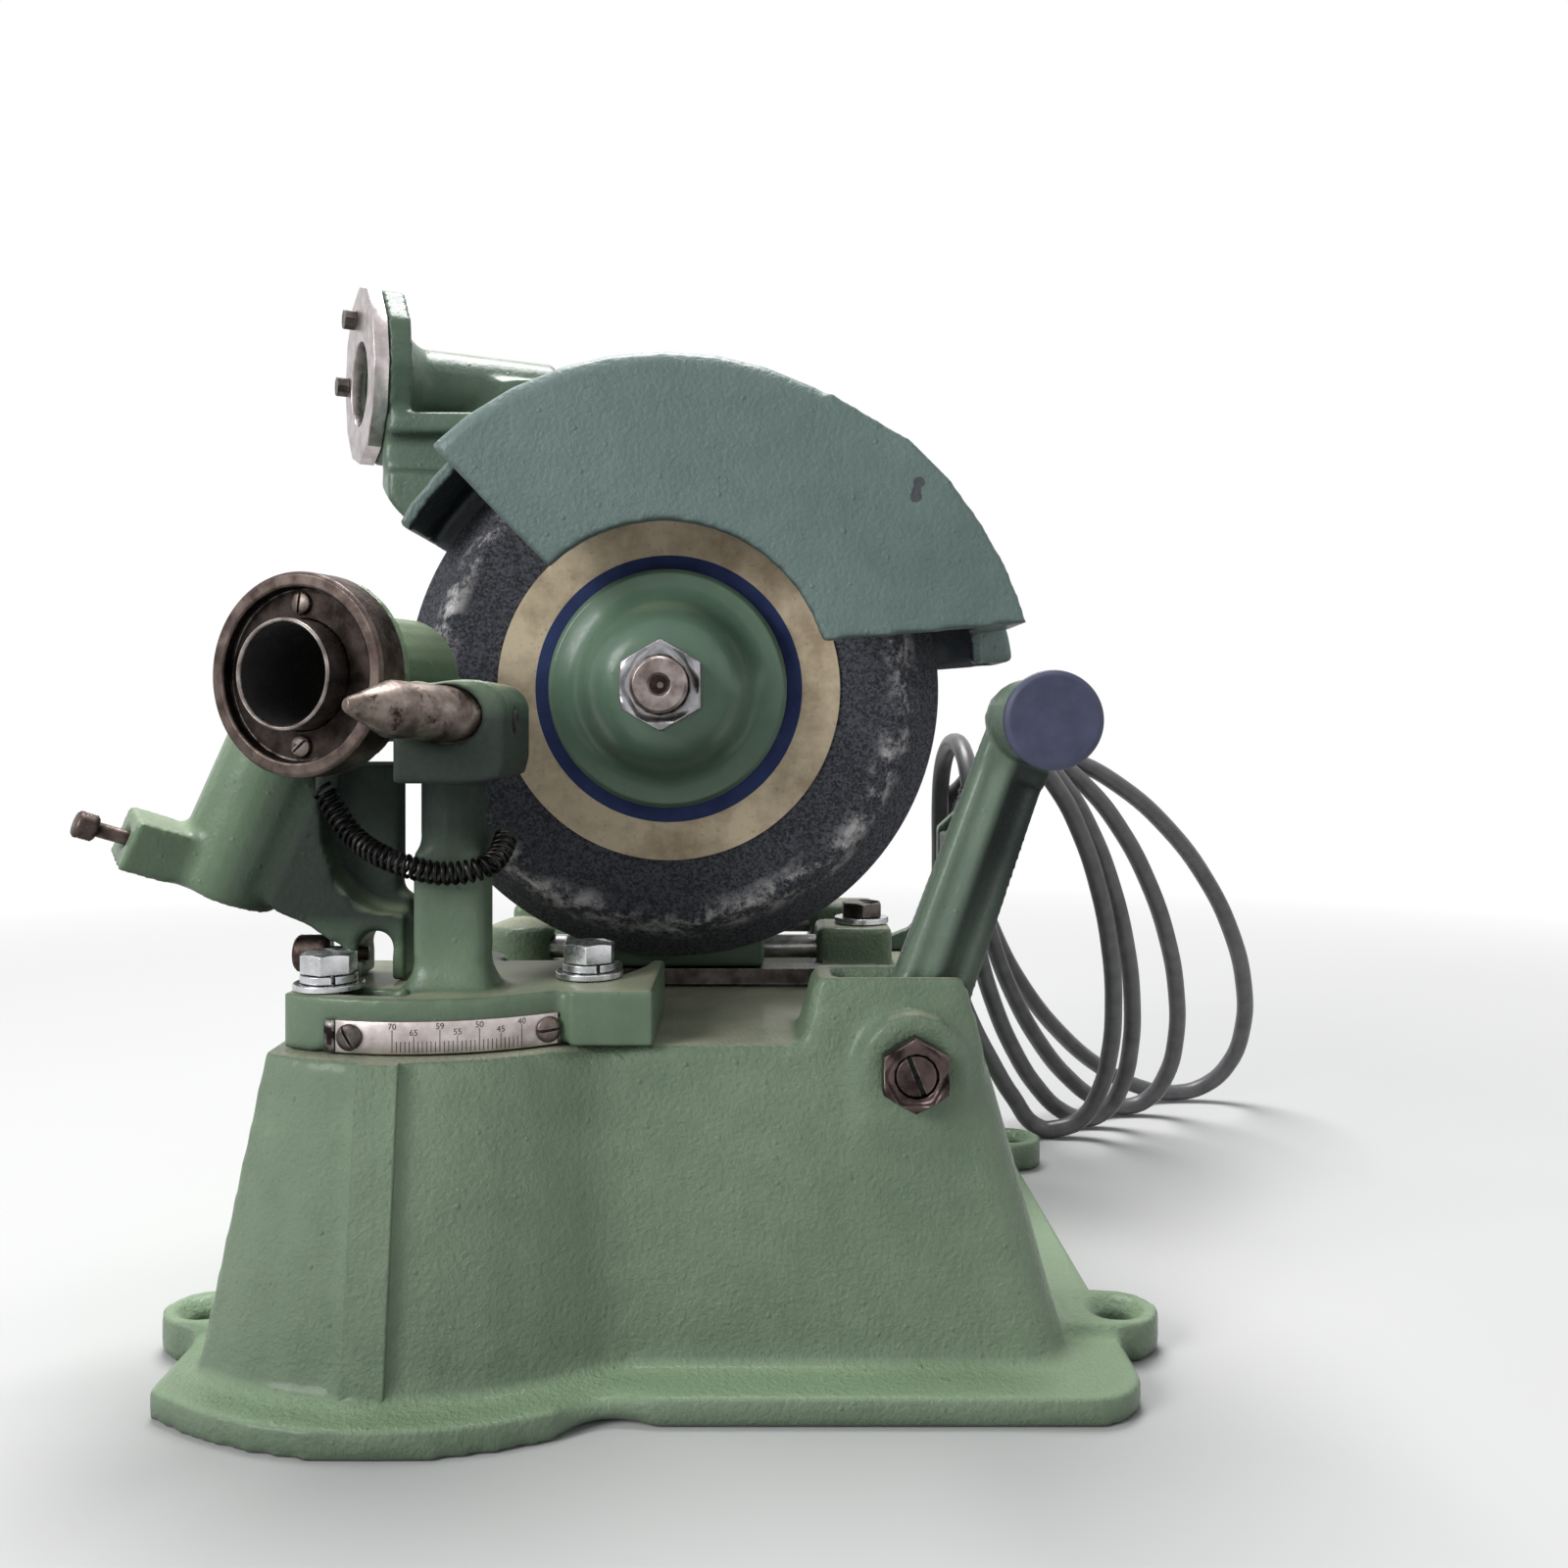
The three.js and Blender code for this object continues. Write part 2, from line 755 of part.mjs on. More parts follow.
function baseCasting() {
  const flange = plate(roundedRectangle(-flangeHalfWidth, flangeHalfWidth, -flangeFront,
    baseDepth + flangeBack, flangeCorner), 0, flangeThickness);
  const roundFlange = common(
    moved(upright(disc(bulgeFlangeRadius, 0, flangeThickness, wheelSides)), swivelX, swivelY, 0),
    box(-flangeHalfWidth, flangeHalfWidth, -bulgeFlangeRadius, swivelY, 0, flangeThickness));
  const wallFoot = flangeThickness / 2;
  const shell = tapered(baseOutline(wallFoot, 0), baseOutline(seatHeight, 0), wallFoot, seatHeight);
  const ribRadius = (height) => bulgeRadius(height) + ribProud;
  const rib = common(
    moved(upright(turned([[0, wallFoot], [ribRadius(wallFoot), wallFoot],
      [ribRadius(seatHeight), seatHeight], [0, seatHeight]], wheelSides)), swivelX, swivelY, 0),
    box(-ribRightX - ribWidth, -ribRightX, -bulgeFlangeRadius, swivelY - bulgeTopRadius / 2, wallFoot, seatHeight));
  const rodBoss = moved(upright(turned([
    [0, -cutOverrun], [rodBossRadius, -cutOverrun], [rodBossRadius, rodBossHeight],
    [rodBossTipRadius, rodBossHeight + rodBossCone], [0, rodBossHeight + rodBossCone]], smallSides)),
  -rodBossX, frontRodY, seatHeight);
  const rodBlock = (x0, x1, y) => box(x0, x1, y - rodBlockHalfDepth, y + rodBlockHalfDepth,
    seatHeight - cutOverrun, seatHeight + rodBlockHeight);
  const outer = join(flange, roundFlange, shell, bulge(0, wallFoot, seatHeight), raisedBlock(), pivotBoss(), rib,
    ...lugPlaces.map(([side, y]) => lug(side, y)), rodBoss, rodBlock(rodBlockLeft, rodBlockRight, frontRodY),
    rodBlock(rodBlockLeft, rodBlockRight, rearRodY),
    rodBlock(-rodBossX - rodBossRadius, -rodBossX + rodBossRadius, rearRodY));
  const roof = seatHeight - baseWall;
  const cavity = join(
    tapered(baseOutline(-cutOverrun, baseWall), baseOutline(roof, baseWall), -cutOverrun, roof),
    bulge(baseWall, -cutOverrun, roof));
  const cheekFront = leverBackY + leverSideClearance;
  const cheek = box(cheekLeft, cheekRight, cheekFront, cheekFront + cheekThickness,
    seatHeight - cheekDrop, seatHeight);
  const frontCheek = box(cheekLeft, cheekRight, frontWallY(seatHeight), leverFrontY - leverSideClearance,
    seatHeight - cheekDrop, seatHeight);
  const slotFront = leverFrontY - leverSideClearance;
  const slotBack = leverBackY + leverSideClearance;
  const leverSlot = join(
    box(leverSlotLeft, cheekRight, slotFront, slotBack, leverSlotFloor, blockHeight + cutOverrun),
    box(leverPivotX, rightFoot, slotFront, slotBack, leverSlotWallCut, blockHeight + cutOverrun));
  const window = box(tonguePinX - tongueWidth / 2 - roofWindowMargin,
    tonguePinX + tongueWidth / 2 + traverse + roofWindowMargin, tongueFrontY - roofWindowMargin,
    tongueFrontY + tongueThickness + roofWindowMargin, tonguePinHeight - leverPinReach / 2,
    seatHeight + cutOverrun);
  const screwHole = moved(turned([
    [0, -flangeFront], [pivotScrewRadius + seatGap, -flangeFront], [pivotScrewRadius + seatGap, slotFront + seatGap],
    [pivotJournalRadius + seatGap, slotFront + seatGap], [pivotJournalRadius + seatGap, blockBackFoot + cutOverrun],
    [0, blockBackFoot + cutOverrun]], smallSides), leverPivotX, 0, leverPivotHeight);
  const hole = (x, y, radius) => moved(upright(disc(radius, roof - cutOverrun, seatHeight + cutOverrun, smallSides)),
    x, y, 0);
  const rodHole = (y) => moved(sideways(disc(guideRodRadius + seatGap, -rodEndX - seatGap, rodEndX + seatGap,
    smallSides)), 0, y, rodAxisHeight);
  const rodBoltHole = moved(upright(disc(rodBoltRadius + seatGap, rodBlockHeight - rodBoltLength - cutOverrun,
    rodBlockHeight + cutOverrun, smallSides)), rodBoltX, frontRodY, seatHeight);
  return cut(join(cut(outer, cavity), cheek, frontCheek), leverSlot, window, screwHole, rodBoltHole,
    hole(swivelX, swivelY, swivelStudRadius + seatGap), rodHole(frontRodY), rodHole(rearRodY),
    ...clampPlaces.map(([x, y]) => hole(x, y, clampBoltRadius + seatGap)),
    ...lugPlaces.map(([side, y]) => lugHole(side, y)));
}

function guideRod() {
  return sideways(disc(guideRodRadius, -rodEndX, rodEndX, smallSides));
}

// A hexagon bolt along Z, seated at zero with its shank below.
function hexBolt(acrossFlats, headHeight, shankRadius, shankLength) {
  return upright(join(
    hexagon(acrossFlats, -headHeight, 0).rotateX(Math.PI),
    disc(shankRadius, -shankLength, headHeight / 2, smallSides)));
}

function pivotScrew() {
  const front = frontWallY(leverPivotHeight) - pivotScrewProud;
  const body = turned([
    [0, front], [pivotScrewRadius - arborChamfer, front], [pivotScrewRadius, front + arborChamfer],
    [pivotScrewRadius, front + pivotThreadLength], [pivotJournalRadius, front + pivotThreadLength],
    [pivotJournalRadius, front + pivotScrewLength], [0, front + pivotScrewLength]], smallSides);
  const slot = box(-pivotScrewSlotWidth / 2, pivotScrewSlotWidth / 2, front - cutOverrun,
    front + pivotScrewSlotDepth, -pivotScrewRadius - cutOverrun, pivotScrewRadius + cutOverrun)
    .rotateY(radians(-pivotScrewSlotTilt));
  return cut(body, slot);
}

function jamNut() {
  const back = frontWallY(leverPivotHeight) - pivotBossProud - seatGap;
  return cut(hexagon(jamNutAcrossFlats, back - jamNutThickness, back),
    disc(pivotScrewRadius + seatGap, back - jamNutThickness - cutOverrun, back + cutOverrun, smallSides));
}

function baseParts() {
  const washerFoot = tableTop + seatGap;
  const springWasherFoot = washerFoot + clampWasherThickness + seatGap;
  const boltFoot = springWasherFoot + springWasherThickness + seatGap;
  const flat = () => upright(hoop(clampBoltRadius + seatGap, clampWasherRadius, 0, clampWasherThickness, smallSides));
  const split = () => upright(hoop(clampBoltRadius + seatGap, springWasherRadius, 0, springWasherThickness,
    smallSides));
  const bolt = () => hexBolt(clampBoltAcrossFlats, clampBoltHeadHeight, clampBoltRadius, clampBoltLength);
  const clamps = ['left', 'right'].flatMap((side, which) => {
    const [x, y] = clampPlaces[which];
    return [
      group(x, y, washerFoot, mesh(`clamp_washer_${side}`, flat(), brightSteel)),
      group(x, y, springWasherFoot, mesh(`clamp_spring_washer_${side}`, split(), brightSteel)),
      group(x, y, boltFoot, mesh(`clamp_bolt_${side}`, bolt(), brightSteel))];
  });
  const stud = upright(turned([
    [0, -swivelStudLength], [swivelStudRadius, -swivelStudLength], [swivelStudRadius, 0],
    [swivelStudHeadRadius, 0], [swivelStudHeadRadius, swivelStudHeadDepth - seatGap],
    [0, swivelStudHeadDepth - seatGap]], smallSides));
  const rodWasherFoot = seatHeight + rodBlockHeight + seatGap;
  return [
    mesh('base_casting', baseCasting(), paint),
    group(leverPivotX, 0, leverPivotHeight,
      mesh('lever_pivot_screw', pivotScrew(), darkSteel), mesh('lever_jam_nut', jamNut(), darkSteel)),
    ...clamps,
    group(swivelX, swivelY, tableTop - swivelStudHeadDepth + seatGap, mesh('swivel_stud', stud, darkSteel)),
    group(0, frontRodY, rodAxisHeight, mesh('guide_rod_front', guideRod(), brightSteel)),
    group(0, rearRodY, rodAxisHeight, mesh('guide_rod_rear', guideRod(), brightSteel)),
    group(rodBoltX, frontRodY, rodWasherFoot,
      mesh('rod_clamp_washer', upright(hoop(rodBoltRadius + seatGap, rodWasherRadius, 0, rodWasherThickness,
        smallSides)), brightSteel)),
    group(rodBoltX, frontRodY, rodWasherFoot + rodWasherThickness + seatGap,
      mesh('rod_clamp_bolt', hexBolt(rodBoltAcrossFlats, rodBoltHeadHeight, rodBoltRadius, rodBoltLength),
        darkSteel)),
  ];
}

// Lever, in its own frame: the pivot at the origin and the arm along Z

function leverArm() {
  const foot = -leverPinReach;
  const arm = slab([
    [-leverFootHalfWidth, 0], [leverFootHalfWidth, 0],
    [leverTopHalfWidth, leverLength], [-leverTopHalfWidth, leverLength]], leverFrontY, leverBackY);
  const tail = slab([
    [-leverTailHalfWidth, foot], [leverTailHalfWidth, foot],
    [leverHubRadius, 0], [-leverHubRadius, 0]], leverFrontY, leverBackY);
  const round = (radius, height) => moved(disc(radius, leverFrontY, leverBackY, smallSides), 0, 0, height);
  const handle = moved(disc(handleRadius, leverFrontY - handleReach, leverFrontY + leverThickness / 2), 0, 0,
    leverLength);
  const hole = (radius, height) =>
    moved(disc(radius + seatGap, leverFrontY - cutOverrun, leverBackY + cutOverrun, smallSides), 0, 0, height);
  const flute = moved(upright(disc(leverFluteRadius, leverFluteStart, leverFluteEnd, smallSides)),
    leverFluteOffset, leverFrontY - leverFluteRadius + leverFluteDepth, 0);
  const studHole = moved(disc(capStudRadius + seatGap, leverFrontY - handleReach - cutOverrun,
    leverFrontY - handleReach + capStudLength + seatGap, smallSides), 0, 0, leverLength);
  return cut(
    join(arm, tail, round(leverHubRadius, 0), round(leverTailHalfWidth, foot), round(leverTopRadius, leverLength),
      handle),
    hole(pivotJournalRadius, 0), hole(leverPinRadius, foot), flute, studHole);
}

function leverParts() {
  const capBack = leverFrontY - handleReach - seatGap;
  const cap = turned([
    [0, capBack - capThickness], [capRadius - arborChamfer, capBack - capThickness],
    [capRadius, capBack - capThickness + arborChamfer], [capRadius, capBack], [capStudRadius, capBack],
    [capStudRadius, capBack + capStudLength], [0, capBack + capStudLength]]);
  const pin = disc(leverPinRadius, leverFrontY + seatGap, leverFrontY + seatGap + leverPinLength, smallSides);
  const lever = group(leverPivotX, 0, leverPivotHeight,
    mesh('lever_arm', leverArm(), paint),
    mesh('lever_cap', moved(cap, 0, 0, leverLength), blackPlastic),
    mesh('lever_drive_pin', moved(pin, 0, 0, -leverPinReach), darkSteel));
  lever.rotation.y = radians(leverLean);
  return [lever];
}

// Swivel table, in its own frame: the swivel axis at the origin, the bench at zero height

const recessAngles = { start: -19, end: 37.1 };
const shoulderAngle = 37.5;
const clampSlotAngles = { back: -5, ahead: 36 };
const scaleAngles = { start: -16, end: 36.3, screwLeft: -12.3, screwRight: 33.7 };

const sectorPoint = (radius, angle) => [radius * Math.sin(radians(angle)), -radius * Math.cos(radians(angle))];

function sectorArc(radius, from, to, steps) {
  return Array.from({ length: steps + 1 }, (_, step) => sectorPoint(radius, from + ((to - from) * step) / steps));
}

const sectorStrip = (inner, outer, from, to, steps) => [
  ...sectorArc(outer, from, to, steps), ...sectorArc(inner, to, from, steps)];

function tableOutline() {
  const leftAngle = -THREE.MathUtils.radToDeg(Math.asin(tableLeft / tableRadius));
  return [
    ...sectorArc(tableRadius, leftAngle, shoulderAngle, 18),
    [shoulderInner, -shoulderFront], [shoulderOuter, -shoulderFront], [shoulderOuter, -tableBack],
    [tableHubRadius, -tableBack], [-tableLeft, -tableBack]];
}

function swivelPost() {
  const section = (grow) => roundedRectangle(postX - postHalfWidth - grow, postX + postHalfWidth + grow,
    -postY - postHalfDepth - grow, -postY + postHalfDepth + grow, postCorner + grow, 3);
  const column = plate(section(0), tableTop - cutOverrun, tableTop + postNeckBottom);
  const skirt = tapered(section(postSkirt), section(0), tableTop - seatGap, tableTop + postSkirtHeight);
  const neck = moved(upright(disc(postNeckRadius, tableTop + postNeckBottom - cutOverrun,
    tableTop + postNeckTop + cutOverrun, smallSides)), postX, -postY, 0);
  const head = slab([
    [postX - postHeadLeft, tableTop + postNeckTop], [postX + postHeadRight, tableTop + postNeckTop],
    ...arc(postX + postHeadRight - postHeadRound, tableTop + postHeadTop - postHeadRound, postHeadRound, 0, 90, 4),
    ...arc(postX - postHeadLeft + postHeadRound, tableTop + postHeadTop - postHeadRound, postHeadRound, 90, 180, 4)],
  -postY - postHeadFront, -postY + postHeadBack);
  const springPin = moved(sideways(disc(springPinRadius, 0, postHalfWidth + springPinReach, tinySides)),
    postX, springHookY - swivelY, springHookHeight);
  const pinBoss = moved(sideways(disc(2 * springPinRadius, 0, postHalfWidth, tinySides)),
    postX, springHookY - swivelY, springHookHeight);
  const setScrewHole = moved(sideways(disc(setScrewHoleRadius, postX + postHeadRight - setScrewHoleDepth,
    postX + postHeadRight + cutOverrun, tinySides)), 0, -postY - postHeadFront / 2, tableTop + setScrewHoleHeight);
  const chuckRoom = box(postX - 2 * postHeadLeft, postX - postShoulderLeft, -postY - postShoulderFront + cutOverrun,
    -postY + 2 * postHeadBack, tableTop + postNeckTop - seatGap, tableTop + postHeadTop + cutOverrun);
  const ringRoom = aimed(disc(ringRadius + postScallop, -cutOverrun, ringLength + collarLength + collarCone),
    chuckFront.clone().sub(new THREE.Vector3(swivelX, swivelY, 0)), chuckWay);
  return cut(join(column, skirt, cut(head, chuckRoom, ringRoom), neck, springPin, pinBoss), setScrewHole);
}

function followerDirection() {
  const level = Math.cos(radians(followerDip));
  return new THREE.Vector3(Math.sin(radians(followerYaw)) * level, Math.cos(radians(followerYaw)) * level,
    -Math.sin(radians(followerDip)));
}

const followerTip = new THREE.Vector3(-followerTipX, -followerTipY, seatHeight + followerTipHeight);

function followerPin(grow) {
  const body = turned([
    [0, 0], [followerTipRadius + grow, 0], [followerRadius + grow, followerConeLength],
    [followerRadius + grow, followerLength + grow], [0, followerLength + grow]], smallSides);
  return aimed(body, followerTip, followerDirection());
}

function swivelTable() {
  const bottom = seatHeight + seatGap;
  const hub = upright(disc(tableHubRadius, bottom, tableTop));
  const slots = clampAngles.map((angle) => plate([
    ...sectorArc(clampCircle + clampSlotHalfWidth, angle + clampSlotAngles.back, angle + clampSlotAngles.ahead, 10),
    ...sectorArc(clampCircle - clampSlotHalfWidth, angle + clampSlotAngles.ahead, angle + clampSlotAngles.back, 10)],
  bottom - cutOverrun, tableTop + cutOverrun));
  const recess = plate(sectorStrip(tableRadius - scaleDepth, tableRadius + cutOverrun, recessAngles.start,
    recessAngles.end, 16), bottom - cutOverrun, bottom + scaleHeight + 2 * scaleFoot);
  const studHole = upright(turned([
    [0, bottom - cutOverrun], [swivelStudRadius + seatGap, bottom - cutOverrun],
    [swivelStudRadius + seatGap, tableTop - swivelStudHeadDepth],
    [swivelStudHeadRadius + seatGap, tableTop - swivelStudHeadDepth],
    [swivelStudHeadRadius + seatGap, tableTop + cutOverrun], [0, tableTop + cutOverrun]], smallSides));
  const table = cut(join(plate(tableOutline(), bottom, tableTop), hub), ...slots, recess, studHole,
    ...scaleScrewHoles());
  return cut(join(table, swivelPost()), followerPin(seatGap));
}

const scaleScrewHeight = seatHeight + seatGap + scaleFoot + scaleHeight / 2;

function placedRound(body, angle) {
  const [x, y] = sectorPoint(1, angle);
  return aimed(body, new THREE.Vector3(0, 0, scaleScrewHeight), new THREE.Vector3(-x, -y, 0));
}

function scaleScrewHoles(grow = seatGap) {
  const depth = -tableRadius + scaleDepth + scaleScrewShankLength + grow;
  return [scaleAngles.screwLeft, scaleAngles.screwRight].map((angle) =>
    placedRound(disc(scaleScrewShankRadius + grow, -tableRadius - cutOverrun, depth, tinySides), angle));
}

function scalePlate() {
  const foot = seatHeight + seatGap + scaleFoot;
  const back = tableRadius - scaleDepth + seatGap;
  const strip = plate(sectorStrip(back, back + scaleThickness, scaleAngles.start, scaleAngles.end, 18),
    foot, foot + scaleHeight);
  return cut(strip, ...scaleScrewHoles());
}

function scaleScrew(angle) {
  const seat = -(tableRadius - scaleDepth + seatGap + scaleThickness + seatGap);
  const head = turned([
    [0, seat - scaleScrewHeadHeight], [scaleScrewRadius / 2, seat - scaleScrewHeadHeight * 0.9],
    [scaleScrewRadius, seat - scaleScrewHeadHeight / 3], [scaleScrewRadius, seat],
    [scaleScrewShankRadius, seat], [scaleScrewShankRadius, seat + scaleScrewShankLength],
    [0, seat + scaleScrewShankLength]], tinySides);
  return placedRound(head, angle);
}

// Swing bracket with the inclined barrel, placed in the part's own frame

const barrelFoot = new THREE.Vector3(-barrelFootX, barrelFootY, barrelFootHeight);
const barrelWay = new THREE.Vector3(Math.sin(radians(barrelTilt)), 0, Math.cos(radians(barrelTilt)));
const lugArmWay = new THREE.Vector3(
  -Math.cos(radians(barrelTilt)) * Math.cos(radians(lugArmTurn)), -Math.sin(radians(lugArmTurn)),
  Math.sin(radians(barrelTilt)) * Math.cos(radians(lugArmTurn)));
const lugArmFoot = barrelFoot.clone().addScaledVector(barrelWay, lugArmStart);

// The outlines run in shares of the bracket's width and height, from its lower left corner.
const bracketRimShares = [
  [0.27, 0.39], [0.35, 0.31], [0.51, 0.25], [0.62, 0.18], [0.688, 0.15], [0.688, 0], [1, 0],
  [1, 0.296], [0.865, 0.306], [0.76, 0.342], [0.656, 0.438], [0.586, 0.615], [0.56, 0.9], [0.42, 0.93]];
const bracketWebShares = [
  [0.27, 0.39], [0.35, 0.31], [0.51, 0.25], [0.62, 0.18], [0.688, 0.15], [0.688, 0], [1, 0],
  [0.99, 0.35], [0.924, 0.4], [0.924, 0.985], [0.56, 0.985], [0.42, 0.93]];

const bracketOutline = (shares) => shares.map(([across, up]) => [
  -bracketOutlineLeft + bracketOutlineWidth * across, tableTop + seatGap + bracketOutlineHeight * up]);

function lugArm() {
  const arm = box(-lugArmWidth / 2, lugArmWidth / 2, 0, lugArmLength, -lugArmHeight / 2, lugArmHeight / 2);
  const across = new THREE.Vector3().crossVectors(lugArmWay, barrelWay);
  const turn = new THREE.Matrix4().makeBasis(across, lugArmWay, barrelWay).setPosition(lugArmFoot);
  return arm.applyMatrix4(turn);
}

function swingBracket() {
  const barrel = aimed(disc(barrelRadius, 0, barrelLength), barrelFoot, barrelWay);
  const bore = aimed(disc(stemRadius + seatGap, barrelFloor, barrelLength + cutOverrun), barrelFoot, barrelWay);
  const rim = slab(bracketOutline(bracketRimShares), bracketRimFront, bracketWebFront + cutOverrun);
  const web = slab(bracketOutline(bracketWebShares), bracketWebFront, bracketWebBack);
  const archRadius = (bracketArchLeft - bracketArchRight) / 2;
  const archHeight = tableTop + bracketArchHeight;
  const arch = slab([
    [-bracketArchLeft, tableTop - cutOverrun], [-bracketArchRight, tableTop - cutOverrun],
    ...arc(-bracketArchRight - archRadius, archHeight, archRadius, 0, 180, 8)],
  bracketRimFront - cutOverrun, bracketWebBack + cutOverrun);
  const lockHole = aimed(disc(lockScrewShankRadius + seatGap, stemRadius, lugArmLength + cutOverrun, smallSides),
    lugArmFoot, lugArmWay);
  const stopHole = moved(sideways(disc(lockScrewShankRadius + seatGap, -stopScrewHeadX, -stopScrewHeadX
    + stopScrewHeadLength + stopHoleDepth, smallSides)), 0, stopScrewY, tableTop + stopScrewHeight);
  return cut(join(barrel, rim, web, lugArm()), bore, arch, lockHole, stopHole);
}

function lockScrew() {
  const seat = lugArmLength;
  const head = seat + lockScrewNeck;
  const body = turned([
    [0, head - lockScrewLength], [lockScrewShankRadius, head - lockScrewLength], [lockScrewShankRadius, head],
    [lockScrewHeadRadius - arborChamfer, head], [lockScrewHeadRadius, head + arborChamfer],
    [lockScrewHeadRadius, head + lockScrewHeadLength - arborChamfer],
    [lockScrewHeadRadius - arborChamfer, head + lockScrewHeadLength], [0, head + lockScrewHeadLength]], smallSides);
  return aimed(body, lugArmFoot, lugArmWay);
}

function stopScrew() {
  const head = -stopScrewHeadX;
  const body = turned([
    [0, head], [stopScrewHeadRadius - arborChamfer, head], [stopScrewHeadRadius, head + arborChamfer],
    [stopScrewHeadRadius, head + stopScrewHeadLength - arborChamfer],
    [stopScrewHeadRadius - arborChamfer, head + stopScrewHeadLength],
    [lockScrewShankRadius, head + stopScrewHeadLength], [lockScrewShankRadius, head + stopScrewLength],
    [0, head + stopScrewLength]], smallSides);
  return moved(sideways(body), 0, stopScrewY, tableTop + stopScrewHeight);
}

// Chuck station, along its own axis: the ring's front face at zero

const chuckWay = new THREE.Vector3(Math.sin(radians(chuckYaw)), Math.cos(radians(chuckYaw)), 0);
const chuckFront = new THREE.Vector3(swivelX, swivelY, chuckHeight).addScaledVector(chuckWay, -chuckReach);

function chuckPlaced(name, geometry, finish) {
  const part = mesh(name, geometry, finish);
  part.position.copy(chuckFront);
  part.rotation.z = -radians(chuckYaw);
  return part;
}

function swingHead() {
  const back = ringLength + seatGap;
  const housing = turned([
    [sleeveRadius + seatGap, back], [ringRadius, back], [ringRadius, back + collarLength],
    [housingRadius, back + collarLength + collarCone], [housingRadius, housingLength - arborChamfer],
    [housingRadius - arborChamfer, housingLength], [sleeveRadius + seatGap, housingLength],
    [sleeveRadius + seatGap, back]]);
  const placed = aimed(housing, chuckFront, chuckWay);
  const bore = aimed(disc(sleeveRadius + seatGap, 0, housingLength + cutOverrun), chuckFront, chuckWay);
  const stemTop = barrelFoot.clone().addScaledVector(barrelWay, barrelLength + seatGap);
  const stem = aimed(disc(stemRadius, -stemLength, cutOverrun), stemTop, barrelWay);
  const stemHead = aimed(disc(stemHeadRadius, 0, stemHeadLength), stemTop, barrelWay);
  const armStart = stemTop.clone().addScaledVector(barrelWay, stemHeadLength / 2);
  const armEnd = chuckFront.clone().addScaledVector(chuckWay, housingLength * 0.75);
  const arm = aimed(disc(stemHeadRadius - arborChamfer, 0, armEnd.distanceTo(armStart)), armStart,
    armEnd.clone().sub(armStart));
  const tab = box(-springTabX - springTabHalfWidth, -springTabX + springTabHalfWidth,
    springTabY - springTabThickness / 2, springTabY + springTabThickness / 2, springTabBottom, springTabTop);
  const screwHoles = ringScrewPlaces().map((place) =>
    aimed(disc(ringScrewShankRadius + seatGap, 0, ringLength + ringScrewShankLength, tinySides), place, chuckWay));
  return cut(join(placed, stem, stemHead, arm, tab), bore, ...screwHoles);
}

function ringScrewPlaces() {
  return [1, -1].map((side) => chuckFront.clone().add(new THREE.Vector3(0, 0, side * ringScrewCircle)));
}

function chuckRing() {
  const body = turned([
    [sleeveRadius + seatGap, ringRecess], [ringRimRadius, ringRecess], [ringRimRadius, 0],
    [ringRadius - arborChamfer, 0], [ringRadius, arborChamfer], [ringRadius, ringLength],
    [sleeveRadius + seatGap, ringLength], [sleeveRadius + seatGap, ringRecess]]);
  const holes = [1, -1].map((side) => moved(disc(ringScrewShankRadius + seatGap, 0, ringLength + cutOverrun,
    tinySides), 0, 0, side * ringScrewCircle));
  return cut(body, ...holes);
}

function chuckSleeve() {
  return turned([
    [sleeveBore, -sleeveProud + sleeveEdge], [sleeveBore + sleeveEdge, -sleeveProud],
    [sleeveRadius - sleeveEdge, -sleeveProud], [sleeveRadius, -sleeveProud + sleeveEdge],
    [sleeveRadius, sleeveLength - sleeveProud], [sleeveBore, sleeveLength - sleeveProud],
    [sleeveBore, -sleeveProud + sleeveEdge]]);
}

function ringScrew(side, tilt) {
  const seat = ringRecess - seatGap;
  const body = turned([
    [0, seat - ringScrewHeadHeight], [ringScrewHeadRadius * 0.7, seat - ringScrewHeadHeight],
    [ringScrewHeadRadius, seat - ringScrewHeadHeight / 2], [ringScrewHeadRadius, seat],
    [ringScrewShankRadius, seat], [ringScrewShankRadius, ringLength + ringScrewShankLength - seatGap],
    [0, ringLength + ringScrewShankLength - seatGap]], tinySides);
  const slot = box(-ringScrewSlot / 2, ringScrewSlot / 2, -cutOverrun, seat - ringScrewHeadHeight / 2,
    -cutOverrun, cutOverrun).rotateY(radians(tilt));
  return moved(cut(body, slot), 0, 0, side * ringScrewCircle);
}

